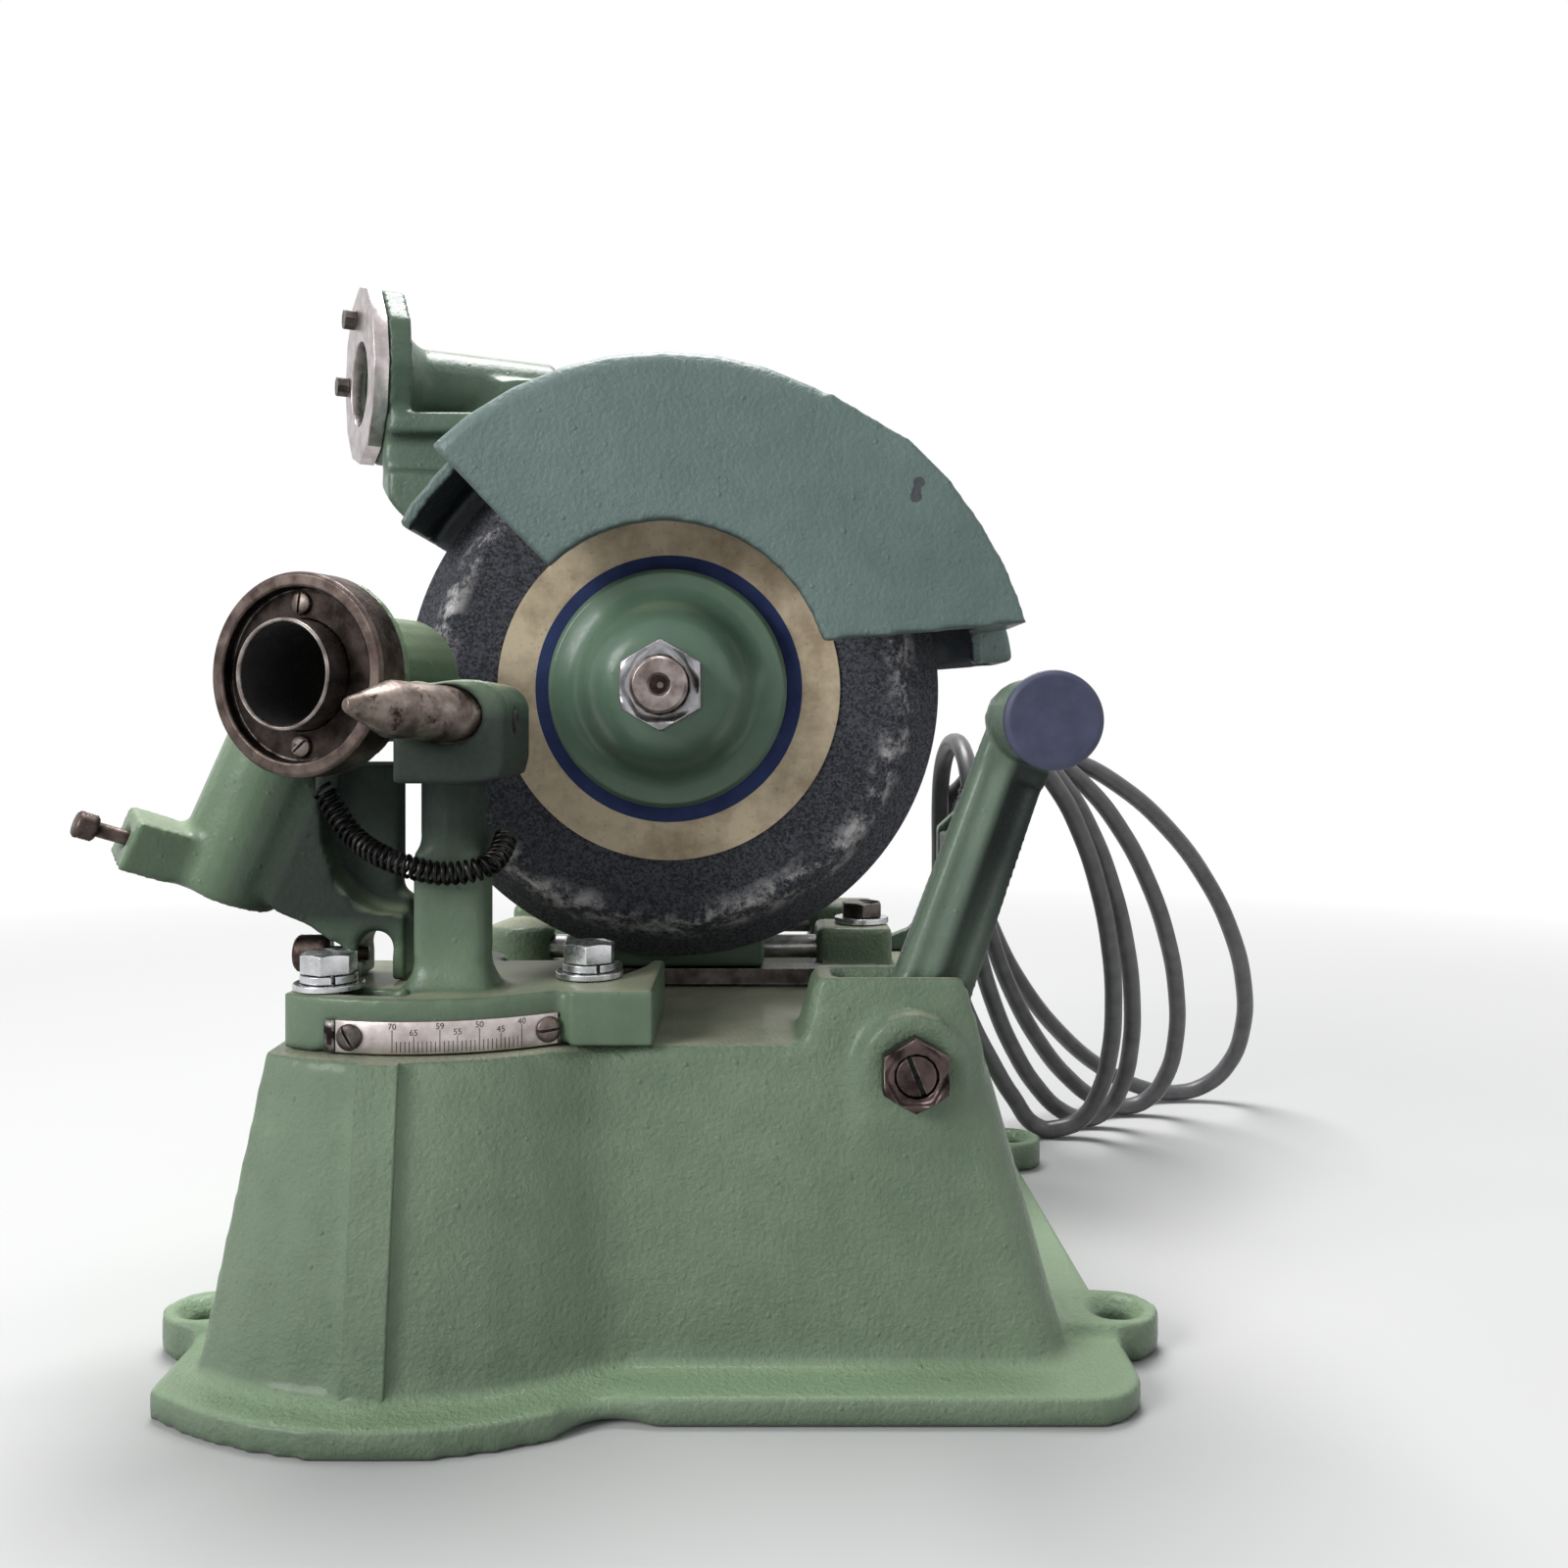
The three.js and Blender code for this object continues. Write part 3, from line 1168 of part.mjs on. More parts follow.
function returnSpring() {
  const tabFront = new THREE.Vector3(-springTabX, springTabY - springTabThickness / 2 - seatGap
    - springWireRadius - springCoilRadius, springTabBottom + springTabHalfWidth);
  const post = new THREE.Vector3(swivelX + postX, swivelY - postY, 0);
  const passFront = post.y - postHalfDepth - springCoilRadius - springWireRadius - runningGap;
  const passRight = post.x + postHalfWidth + springCoilRadius + springWireRadius + runningGap;
  const hook = new THREE.Vector3(-springHookX - springCoilRadius, springHookY - springPinRadius - seatGap
    - springWireRadius - springCoilRadius, springHookHeight);
  const springLow = springHookHeight - postNeckRadius;
  const route = new THREE.CatmullRomCurve3([
    tabFront,
    new THREE.Vector3(tabFront.x + postNeckRadius, tabFront.y - springCoilRadius,
      tabFront.z - 1.4 * postNeckRadius),
    new THREE.Vector3(post.x - postHalfWidth - 2 * springCoilRadius, passFront + springCoilRadius,
      springLow + postSkirt),
    new THREE.Vector3(post.x, passFront, springLow),
    new THREE.Vector3(passRight - springCoilRadius, passFront + springCoilRadius / 2, springLow + postSkirt / 2),
    new THREE.Vector3(passRight, passFront + 2.5 * springCoilRadius, springLow + 1.25 * postSkirt),
    hook]);
  const steps = springTurns * springTurnSteps;
  const line = route.getSpacedPoints(steps);
  const side = new THREE.Vector3(0, 0, 1);
  const places = line.map((place, step) => {
    const way = route.getTangentAt(step / steps);
    side.addScaledVector(way, -side.dot(way)).normalize();
    const up = way.clone().cross(side);
    const angle = (2 * Math.PI * step) / springTurnSteps;
    return place.clone().addScaledVector(side, springCoilRadius * Math.cos(angle))
      .addScaledVector(up, springCoilRadius * Math.sin(angle));
  });
  const straight = (from, beyond) => from.clone().add(from.clone().sub(beyond).setLength(2 * springWireRadius));
  const whole = [straight(places[0], places[1]), ...places, straight(places[steps], places[steps - 1])];
  console.log('return spring, least gap', leastGap(whole, springWireRadius, springTurnSteps - 2).toFixed(2));
  return windingTube(whole, springWireRadius, springSides);
}

function swivelParts() {
  const scaleScrewLeft = mesh('scale_screw_left', scaleScrew(scaleAngles.screwLeft), brightSteel);
  const scaleScrewRight = mesh('scale_screw_right', scaleScrew(scaleAngles.screwRight), brightSteel);
  return [
    group(swivelX, swivelY, 0,
      mesh('swivel_table', swivelTable(), paint),
      mesh('scale_plate', scalePlate(), brightSteel), scaleScrewLeft, scaleScrewRight,
      mesh('follower_pin', followerPin(0), bareSteel)),
    mesh('swing_bracket', swingBracket(), paint),
    mesh('lock_thumbscrew', lockScrew(), darkSteel),
    mesh('stop_thumbscrew', stopScrew(), darkSteel),
    mesh('swing_head', swingHead(), paint),
    chuckPlaced('chuck_ring', chuckRing(), bareSteel),
    chuckPlaced('chuck_sleeve', chuckSleeve(), brightSteel),
    chuckPlaced('ring_screw_top', ringScrew(1, 8), bareSteel),
    chuckPlaced('ring_screw_bottom', ringScrew(-1, 50), bareSteel),
    mesh('return_spring', returnSpring(), darkSteel),
  ];
}

// Wheel head, in its own frame: the wheel's axis at the origin, Y as in the whole part

function headCasting() {
  const drop = wheelAxisHeight - headFootBottom;
  const barTop = headFootBottom + traverseBarThickness + seatGap - wheelAxisHeight;
  const saddle = box(-saddleHalfWidth, saddleHalfWidth, headPlateY, headPlateY + saddleLength,
    barTop, -saddleDrop);
  const footFront = headPlateY + headFootFront;
  const foot = box(-headFootLeft, headFootRight, footFront, footFront + headFootLength, -drop,
    -drop + headFootHeight);
  const rodBore = (y) => moved(sideways(disc(guideRodRadius + guideRodClearance, -2 * headFootLeft,
    2 * headFootLeft, smallSides)), 0, y, rodAxisHeight - wheelAxisHeight);
  const bearingSeat = disc(bearingRadius + seatGap, motorFrontY - bearingWidth - seatGap, motorFrontY + cutOverrun,
    smallSides);
  const motorRoom = disc(motorRadius + seatGap, motorFrontY, rearBellY + rearBellDepth, wheelSides);
  return cut(
    join(disc(headPlateRadius, headPlateY, bellFrontY + cutOverrun),
      disc(motorRadius, bellFrontY, motorFrontY, wheelSides), saddle, foot),
    motorRoom, bearingSeat, disc(spindleRadius + runningGap, headPlateY - cutOverrun, motorFrontY),
    rodBore(frontRodY), rodBore(rearRodY), ...guardScrewHoles());
}

const guardScrewAngles = { right: 58, left: 124 };
const guardScrewPlaces = [
  [guardScrewAngles.right, guardScrewCircle], [guardScrewAngles.left, guardOuterScrewCircle],
].map(([angle, circle]) => [circle * Math.cos(radians(angle)), circle * Math.sin(radians(angle))]);

function guardScrewHoles() {
  const headFront = headPlateY - seatGap - guardWall;
  return guardScrewPlaces.map(([x, z]) => moved(turned([
    [0, headFront - cutOverrun], [guardScrewHeadRadius + seatGap, headFront - cutOverrun],
    [guardScrewHeadRadius + seatGap, headFront], [guardScrewRadius + seatGap, headFront + guardScrewHeadDepth],
    [guardScrewRadius + seatGap, headFront + guardScrewLength + seatGap], [0, headFront + guardScrewLength + seatGap],
  ], tinySides), x, 0, z));
}

function guardScrew([x, z]) {
  const front = headPlateY - seatGap - guardWall + seatGap;
  return moved(turned([
    [0, front], [guardScrewHeadRadius - seatGap, front], [guardScrewRadius, front + guardScrewHeadDepth - seatGap],
    [guardScrewRadius, front + guardScrewLength - seatGap], [0, front + guardScrewLength - seatGap]], tinySides),
  x, 0, z);
}

function traverseBar() {
  const bottom = headFootBottom;
  const left = tonguePinX - tongueWidth / 2;
  const right = tonguePinX + tongueWidth / 2;
  const rootBack = headPlateY + headFootFront - seatGap;
  const rootFront = headPlateY + seatGap;
  const strip = plate([
    [-traverseBarHalfRoot, rootFront], [left, rootFront], [left, tongueFrontY], [right, tongueFrontY],
    [right, rootFront + traverseBarWidth], [traverseBarHalfRoot, rootFront + traverseBarWidth],
    [traverseBarHalfRoot, rootBack], [-traverseBarHalfRoot, rootBack]], bottom, bottom + traverseBarThickness);
  const tongue = box(left, right, tongueFrontY, tongueFrontY + tongueThickness,
    bottom + traverseBarThickness - tongueDrop, bottom + traverseBarThickness);
  const slotHalfWidth = leverPinRadius + leverPinClearance;
  const slot = slab([
    ...arc(tonguePinX, tonguePinHeight + tongueSlotHalfHeight - slotHalfWidth, slotHalfWidth, 0, 180, 8),
    ...arc(tonguePinX, tonguePinHeight - tongueSlotHalfHeight + slotHalfWidth, slotHalfWidth, 180, 360, 8)],
  tongueFrontY - cutOverrun, tongueFrontY + tongueThickness + cutOverrun);
  return moved(cut(join(strip, tongue), slot), 0, 0, -wheelAxisHeight);
}

// Corners of the sectors that the guard keeps, in shares of its outer radius.
const guardFrontShares = [[0, 0], [0.43, 0.13], [1.4, 0.213], [1.4, 1.6], [-1.54, 1.6]];
const guardBackShares = [[0, 0], [1.6, 0.129], [1.6, 1.6], [-1.6, 1.6], [-1.6, 0.977]];
// The flared tip, from its upper end down: angle above the axis and reach as a share of the guard's outer radius.
const guardTipOutline = [[61, 1], [45, 1.032], [35.5, 1.046], [27.4, 1.057], [20, 1.072], [13.7, 1.084], [9.9, 1.091]];

function wheelGuard() {
  const back = headPlateY - seatGap;
  const split = guardFrontY + guardFrontDepth;
  const inside = guardOuterRadius - guardWall;
  const roundStart = guardOuterRadius - guardRound;
  const corner = arc(roundStart, -guardFrontY - guardRound, guardRound, 90, 0, 3).map(([r, y]) => [r, -y]);
  const frontRing = turned([
    [guardMouthRadius, guardFrontY], ...corner, [guardOuterRadius, split], [inside, split],
    [inside, guardFrontY + guardWall], [guardMouthRadius, guardFrontY + guardWall],
    [guardMouthRadius, guardFrontY]], wheelSides);
  const backRing = turned([
    [inside, split - guardWall], [guardOuterRadius, split - guardWall], [guardOuterRadius, back],
    [guardBackRadius, back], [guardBackRadius, back - guardWall], [inside, back - guardWall],
    [inside, split - guardWall]], wheelSides);
  const scaled = (shares) => shares.map(([x, z]) => [x * guardOuterRadius, z * guardOuterRadius]);
  const tipOutside = guardTipOutline.map(([angle, share]) => [
    share * guardOuterRadius * Math.cos(radians(angle)), share * guardOuterRadius * Math.sin(radians(angle))]);
  const tipInside = arc(0, 0, inside + seatGap, guardTipAngles.low, guardTipAngles.high, guardTipSteps);
  const tip = slab([...tipOutside, ...tipInside], guardFrontY, split);
  return cut(join(
    common(frontRing, slab(scaled(guardFrontShares), guardFrontY - cutOverrun, split + cutOverrun)),
    common(backRing, slab(scaled(guardBackShares), guardFrontY, back + cutOverrun)), tip), ...guardScrewHoles());
}

const thinningWay = new THREE.Vector3(Math.sin(radians(thinningYaw)), Math.cos(radians(thinningYaw)), 0);
const thinningFront = new THREE.Vector3(-thinningX, thinningY, thinningHeight);
const thinningUpperShares = [[-0.95, 0.98], [-0.95, 0.8], [-0.45, 0.8], [-0.42, 0.98]];
const thinningLedgeShares = [[-0.985, 0.83], [-0.975, 0.79], [-0.93, 0.765], [-0.45, 0.765], [-0.45, 0.83]];
const thinningMiddleShares = [
  [-0.96, 0.8], [-0.88, 0.62], [-0.5, 0.56], [-0.38, 0.6], [-0.4, 0.8]];
const thinningLowerShares = [
  [-0.93, 0.66], [-0.832, 0.538], [-0.75, 0.455], [-0.64, 0.394], [-0.458, 0.364], [-0.39, 0.42],
  [-0.37, 0.58], [-0.42, 0.64]];

function faceOval() {
  return new THREE.Shape().absellipse(0, facePlateRise, facePlateHalfWidth, facePlateHalfHeight,
    0, 2 * Math.PI).getPoints(roundSides / 4).slice(0, -1).map((point) => [point.x, point.y]);
}

function thinningBracket() {
  const outline = (shares) => shares.map(([x, z]) => [x * thinningOutlineWidth, z * thinningOutlineHeight]);
  const front = headPlateY;
  const back = front + thinningWebThickness;
  const barrel = aimed(disc(thinningBarrelRadius, 0, thinningBarrelLength), thinningFront, thinningWay);
  const boss = aimed(join(slab(faceOval(), 0, thinningFlangeThickness), turned([
    [0, thinningFlangeThickness / 2], [thinningBossRadius, thinningFlangeThickness / 2],
    [thinningBossRadius, thinningFlangeThickness], [thinningBarrelRadius, thinningFlangeThickness
      + thinningBossLength], [0, thinningFlangeThickness + thinningBossLength]])), thinningFront, thinningWay);
  const bore = aimed(disc(thinningBarrelBore, -cutOverrun, thinningBarrelLength + cutOverrun), thinningFront,
    thinningWay);
  const behindPlate = aimed(box(-2 * facePlateHalfHeight, 2 * facePlateHalfHeight, -facePlateHalfHeight, 0,
    -3 * facePlateHalfHeight, 2 * facePlateHalfHeight), thinningFront, thinningWay);
  return cut(join(
    slab(outline(thinningUpperShares), front + thinningShoulderFront, front + thinningShoulderDepth),
    slab(outline(thinningLedgeShares), front, front + thinningShoulderDepth),
    slab(outline(thinningMiddleShares), front + thinningWebRecess, back),
    slab(outline(thinningLowerShares), front, back), barrel, boss),
  bore, behindPlate, ...facePinHoles(), ...guardScrewHoles());
}

function facePlaced(body) {
  return aimed(body, thinningFront, thinningWay);
}

const facePinPlaces = [[-facePinTopOffset, facePinTopRise], [-facePinSideOffset, facePinSideRise]];

function facePinHoles() {
  return facePinPlaces.map(([across, up]) => facePlaced(moved(disc(facePinShankRadius + seatGap,
    -facePlateThickness - cutOverrun, facePinShankLength, tinySides), across, 0, up)));
}

function facePlate() {
  const body = slab(faceOval(), -facePlateThickness - seatGap, -seatGap);
  const bore = disc(facePlateBore, -facePlateThickness - cutOverrun, cutOverrun);
  return cut(facePlaced(cut(body, bore)), ...facePinHoles());
}

function facePin([across, up]) {
  const seat = -facePlateThickness - 2 * seatGap;
  const body = turned([
    [0, seat - facePinHeadHeight], [facePinRadius, seat - facePinHeadHeight], [facePinRadius, seat],
    [facePinShankRadius, seat], [facePinShankRadius, facePinShankLength - seatGap],
    [0, facePinShankLength - seatGap]], tinySides);
  return facePlaced(moved(body, across, 0, up));
}

function rearBell() {
  const back = rearBellY + seatGap;
  const seat = bearingRadius + seatGap;
  const housing = seat + bearingHousingWall;
  const inside = motorRadius - rearBellWeb;
  return turned([
    [0, back + bearingWidth + 2 * seatGap], [seat, back + bearingWidth + 2 * seatGap], [seat, back],
    [housing, back], [housing, back + rearBellWeb], [inside, back + rearBellWeb], [inside, back],
    [motorRadius, back], [motorRadius, back + rearBellRim],
    [motorRadius - rearBellShoulder, back + rearBellDepth - seatGap], [0, back + rearBellDepth]], wheelSides);
}

function spindleParts() {
  const front = wheelFaceY - arborReach;
  const shoulder = wheelBackY + innerFlangeThickness + 2 * seatGap;
  const spindleEnd = rearBellY + 2 * seatGap + bearingWidth - spindleInset;
  const arbor = turned([
    [0, front + centreHoleDepth], [centreHoleRadius, front + centreHoleDepth - centreHoleRadius],
    [centreHoleRadius, front], [arborRadius - arborChamfer, front], [arborRadius, front + arborChamfer],
    [arborRadius, shoulder], [spindleRadius, shoulder], [spindleRadius, spindleEnd], [0, spindleEnd]],
  smallSides);
  const bore = arborRadius + seatGap;
  const wheel = turned([
    [bore, wheelFaceY], [wheelFlatRadius, wheelFaceY], [wheelRadius, wheelFaceY + wheelBevelDepth],
    [wheelRadius, wheelBackY], [bore, wheelBackY], [bore, wheelFaceY]], wheelSides);
  const blotterBack = wheelFaceY - seatGap;
  const blotterFront = blotterBack - blotterThickness;
  const flangeBackFace = blotterFront - seatGap;
  const flangeFrontFace = flangeBackFace - outerFlangeDepth;
  const outerFlange = turned([
    [bore, flangeFrontFace], [domeNeckRadius, flangeFrontFace],
    [domeRadius, flangeFrontFace + domeShoulder], [domeRadius, flangeBackFace - 2 * outerFlangeRim],
    [outerFlangeRadius, flangeBackFace - outerFlangeRim], [outerFlangeRadius, flangeBackFace],
    [bore, flangeBackFace], [bore, flangeFrontFace]]);
  const nutBack = flangeFrontFace - seatGap;
  const nut = cut(hexagon(arborNutAcrossFlats, nutBack - arborNutThickness, nutBack),
    disc(bore, nutBack - arborNutThickness - cutOverrun, nutBack + cutOverrun, smallSides));
  const rotorY = motorFrontY + rotorStart;
  return [
    mesh('arbor', arbor, brightSteel),
    mesh('inner_flange', hoop(bore, innerFlangeRadius, wheelBackY + seatGap,
      wheelBackY + seatGap + innerFlangeThickness), darkSteel),
    mesh('grinding_wheel', wheel, abrasive),
    mesh('wheel_blotter', hoop(bore, blotterRadius, blotterFront, blotterBack, wheelSides), paper),
    mesh('outer_flange', outerFlange, paint),
    mesh('arbor_nut', nut, brightSteel),
    mesh('motor_rotor', hoop(spindleRadius + seatGap, rotorRadius, rotorY, rotorY + rotorLength), darkSteel),
  ];
}

function wheelHeadParts() {
  const bearing = (start) => cut(disc(bearingRadius, start, start + bearingWidth, smallSides),
    disc(spindleRadius + seatGap, start - cutOverrun, start + bearingWidth + cutOverrun));
  const rotorY = motorFrontY + rotorStart;
  const shellStart = motorFrontY + seatGap;
  const shellInside = motorRadius - motorShellWall;
  return [group(0, 0, wheelAxisHeight,
    mesh('wheel_head_casting', headCasting(), paint),
    mesh('traverse_bar', traverseBar(), darkSteel),
    mesh('motor_shell', hoop(shellInside, motorRadius, shellStart, rearBellY, wheelSides), paint),
    mesh('motor_rear_bell', rearBell(), paint),
    mesh('motor_stator', hoop(rotorRadius + runningGap, shellInside - seatGap, rotorY, rotorY + rotorLength,
      wheelSides), copper),
    mesh('bearing_front', bearing(motorFrontY - bearingWidth), brightSteel),
    mesh('bearing_rear', bearing(rearBellY + 2 * seatGap), brightSteel),
    mesh('wheel_guard', wheelGuard(), paint),
    mesh('guard_screw_right', guardScrew(guardScrewPlaces[0]), darkSteel),
    mesh('guard_screw_left', guardScrew(guardScrewPlaces[1]), darkSteel),
    mesh('thinning_bracket', thinningBracket(), paint),
    mesh('thinning_face_plate', facePlate(), bareSteel),
    mesh('face_pin_top', facePin(facePinPlaces[0]), darkSteel),
    mesh('face_pin_side', facePin(facePinPlaces[1]), darkSteel),
    ...spindleParts())];
}

// Switch, cord and plug

// The bracket's outline runs in shares of its span and rise, from its left foot.
const switchBracketShares = [
  [0, 0], [0.28, 0], [0.75, 0.32], [0.78, 0.62], [0.99, 0.84], [0.99, 0.97], [0.94, 1.02], [0.81, 1.02],
  [0.74, 0.93], [0.38, 0.66], [0.38, 0.32], [0.2, 0.12], [0, 0.055]];

const switchRight = switchBoxLeft + switchBoxWidth;
const switchBack = switchBoxFront + switchBoxDepth;
const switchTop = switchBoxFoot + switchBoxHeight;

const hangerWay = new THREE.Vector3(Math.sin(radians(hangerSlant)), Math.cos(radians(hangerSlant)), 0);

function switchBracket() {
  const front = switchBack + seatGap;
  const back = front + bracketPlate;
  const outline = switchBracketShares.map(([across, up]) => [
    bracketFootLeft + bracketSpan * across, seatHeight + seatGap + bracketRise * up]);
  const foot = box(bracketFootLeft, bracketFootLeft + bracketSpan * 0.28, front, front + 2.5 * bracketPlate,
    seatHeight + seatGap, seatHeight + seatGap + bracketPlate / 2);
  const hanger = aimed(join(
    disc(hangerRadius, -bracketPlate, hangerLength, smallSides),
    disc(hangerCapRadius, hangerLength - hangerCapLength, hangerLength, smallSides)),
  new THREE.Vector3(hangerX, coilTopY, hangerHeight), hangerWay);
  return join(slab(outline, front, back), foot, hanger);
}

function switchBox() {
  const body = box(switchBoxLeft, switchRight, switchBoxFront, switchBack, switchBoxFoot, switchTop);
  const room = box(switchBoxLeft + cordRadius / 2, switchRight - cordRadius / 2, switchBoxFront + cordRadius / 2,
    switchBack + cutOverrun, switchBoxFoot + cordRadius / 2, switchTop - cordRadius / 2);
  const toggleHole = moved(disc(toggleRadius + 3 * seatGap, switchBoxFront - cutOverrun, switchBack, tinySides),
    (switchBoxLeft + switchRight) / 2, 0, switchBoxFoot + toggleHeight);
  return cut(body, room, toggleHole);
}

function toggle() {
  const stick = turned([
    [0, toggleBaseLength], [toggleRadius, toggleBaseLength], [toggleRadius, -toggleLength * 0.75],
    [toggleRadius * 0.6, -toggleLength], [0, -toggleLength]], tinySides);
  return stick.rotateX(radians(toggleTilt));
}

// The loops hang over the hanger and stand on the bench, and each lies further back than the one before.
function coilPlace(turns) {
  const angle = Math.PI - 2 * Math.PI * turns;
  const topY = coilTopY + coilTopPitch * turns;
  const top = new THREE.Vector3(hangerX + coilTopShift * turns, topY,
    hangerHeight + hangerRadius + coilSeat + cordRadius);
  const foot = new THREE.Vector3(
    coilFootX + coilFootPitchX * turns + coilFootGrowthX * turns ** 2,
    coilFootY + coilFootPitchY * turns + coilFootGrowthY * turns ** 2, cordRadius + seatGap);
  const halfWidth = coilHalfWidth + coilHalfWidthPitch * turns + coilHalfWidthGrowth * turns ** 2;
  return top.clone().add(foot).multiplyScalar(0.5)
    .addScaledVector(top.clone().sub(foot), Math.cos(angle) / 2)
    .add(new THREE.Vector3(halfWidth * Math.sin(angle), 0, 0));
}

function cordCoil() {
  const steps = Math.round(coilTurns * coilTurnSteps);
  const places = Array.from({ length: steps + 1 }, (_, step) => coilPlace(step / coilTurnSteps));
  const startWay = places[0].clone().sub(places[1]).setZ(0).normalize();
  const endWay = places[steps].clone().sub(places[steps - 1]).normalize();
  const whole = [places[0].clone().addScaledVector(startWay, 2 * cordRadius), ...places,
    places[steps].clone().addScaledVector(endWay, 2 * cordRadius)];
  console.log('cord coil, least gap', leastGap(whole, cordRadius, coilTurnSteps / 2).toFixed(2),
    'length', routeLength(whole).toFixed(0));
  return { body: windingTube(whole, cordRadius, coilSides), start: whole[0], end: whole[steps + 2],
    startWay, endWay };
}

// The cord's free stretches: the arch over the switch box with the drop behind it, and the run to the plug.
const archPlaces = Array.from({ length: 7 }, (_, step) => {
  const angle = (Math.PI * step) / 6;
  const across = (1 - Math.cos(angle)) / 2;
  return [glandX - archShift * across, glandY + archSpan * across, archFoot + archRise * Math.sin(angle)];
}).slice(1).map(vector3);
const drop = [
  [123, 256.5, 148], [123, 255, 128], [124.5, 252, 106], [129, 249.5, 84], [137, 250, 63], [148, 253.5, 42],
  [159.5, 260, 23]].map(vector3);
const tail = [
  [127.5, 298, 110], [122, 314, 75], [114, 327, 45], [103, 336, 24], [88, 341, 14]].map(vector3);

function freeCord(name, route) {
  const curve = new THREE.CatmullRomCurve3(route, false, 'centripetal');
  const steps = Math.round(curve.getLength() / cordStep);
  const section = new THREE.Shape(arc(0, 0, cordRadius, 0, 360, cordSides).slice(0, -1).map(vector2));
  console.log(name, 'length', curve.getLength().toFixed(0));
  return mesh(name, new THREE.ExtrudeGeometry(section, { steps, extrudePath: curve }), greyRubber);
}

function plug() {
  const body = turned([
    [0, 0], [plugNeckRadius, 0], [plugNeckRadius + arborChamfer, plugNeckLength],
    [plugRadius, plugNeckLength + plugNeckRadius], [plugRadius, plugLength - arborChamfer],
    [plugRadius - arborChamfer, plugLength], [0, plugLength]], smallSides);
  const blade = (side) => moved(box(-plugPinWidth / 2, plugPinWidth / 2, plugLength - cutOverrun,
    plugLength + plugPinLength, -plugPinThickness / 2, plugPinThickness / 2), 0, 0, (side * plugPinSpacing) / 2);
  const earth = disc(plugPinThickness * 1.5, plugLength - cutOverrun, plugLength + plugPinLength, tinySides);
  return aimed(join(body, blade(1), blade(-1), moved(earth, -plugPinWidth, 0, 0)),
    new THREE.Vector3(plugX, plugY, plugRadius + seatGap), new THREE.Vector3(-1, 0, 0));
}

function cordParts() {
  const gland = upright(turned([
    [0, 0], [glandRadius, 0], [glandRadius, glandCollar], [glandTipRadius, glandLength], [0, glandLength]],
  smallSides));
  const glandTop = switchTop + seatGap + glandLength + seatGap;
  const coil = cordCoil();
  const coilStart = coil.start.clone().addScaledVector(coil.startWay, seatGap);
  const coilEnd = coil.end.clone().addScaledVector(coil.endWay, seatGap);
  const plugEnd = new THREE.Vector3(plugX + seatGap, plugY, plugRadius + seatGap);
  const firstStretch = [new THREE.Vector3(glandX, glandY, glandTop),
    new THREE.Vector3(glandX, glandY, glandTop + cordRadius), ...archPlaces, ...drop,
    coilStart.clone().addScaledVector(coil.startWay, 2 * cordRadius), coilStart];
  const lastStretch = [coilEnd, coilEnd.clone().addScaledVector(coil.endWay, 2 * cordRadius), ...tail,
    plugEnd.clone().add(new THREE.Vector3(2 * cordRadius, 0, 0)), plugEnd];
  const lever = mesh('switch_toggle', toggle(), brightSteel);
  return [
    mesh('switch_bracket', switchBracket(), paint),
    mesh('switch_box', switchBox(), blackPlastic),
    group((switchBoxLeft + switchRight) / 2, switchBoxFront, switchBoxFoot + toggleHeight, lever),
    group(glandX, glandY, switchTop + seatGap, mesh('cord_gland', gland, blackPlastic)),
    freeCord('power_cord', firstStretch),
    mesh('cord_coil', coil.body, greyRubber),
    freeCord('cord_tail', lastStretch),
    mesh('plug', plug(), blackPlastic),
  ];
}

const grinder = new THREE.Group();
grinder.add(...baseParts(), ...leverParts(), ...swivelParts(), ...wheelHeadParts(), ...cordParts());

export default grinder;
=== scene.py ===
import json
import math

import bmesh
import bpy
from mathutils import Matrix, Vector
from mathutils.kdtree import KDTree


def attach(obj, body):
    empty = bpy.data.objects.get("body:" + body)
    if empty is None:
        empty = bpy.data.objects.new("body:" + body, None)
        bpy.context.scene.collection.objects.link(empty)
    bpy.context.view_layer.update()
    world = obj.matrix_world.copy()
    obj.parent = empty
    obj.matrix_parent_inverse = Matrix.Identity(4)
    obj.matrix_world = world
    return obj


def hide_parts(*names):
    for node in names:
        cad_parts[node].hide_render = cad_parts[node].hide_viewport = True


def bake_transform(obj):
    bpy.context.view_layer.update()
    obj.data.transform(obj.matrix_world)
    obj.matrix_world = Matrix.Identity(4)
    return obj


MM = 0.001
SAME_PLACE = 0.000002
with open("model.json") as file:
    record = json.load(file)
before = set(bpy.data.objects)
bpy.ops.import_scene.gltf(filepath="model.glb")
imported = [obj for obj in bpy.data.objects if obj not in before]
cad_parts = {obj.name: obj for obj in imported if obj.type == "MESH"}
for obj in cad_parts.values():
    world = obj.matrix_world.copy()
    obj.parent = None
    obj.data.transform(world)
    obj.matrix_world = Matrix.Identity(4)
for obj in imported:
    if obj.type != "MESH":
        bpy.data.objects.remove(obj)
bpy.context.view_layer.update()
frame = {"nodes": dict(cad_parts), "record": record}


# Places and ways shared by the pieces, in millimetres

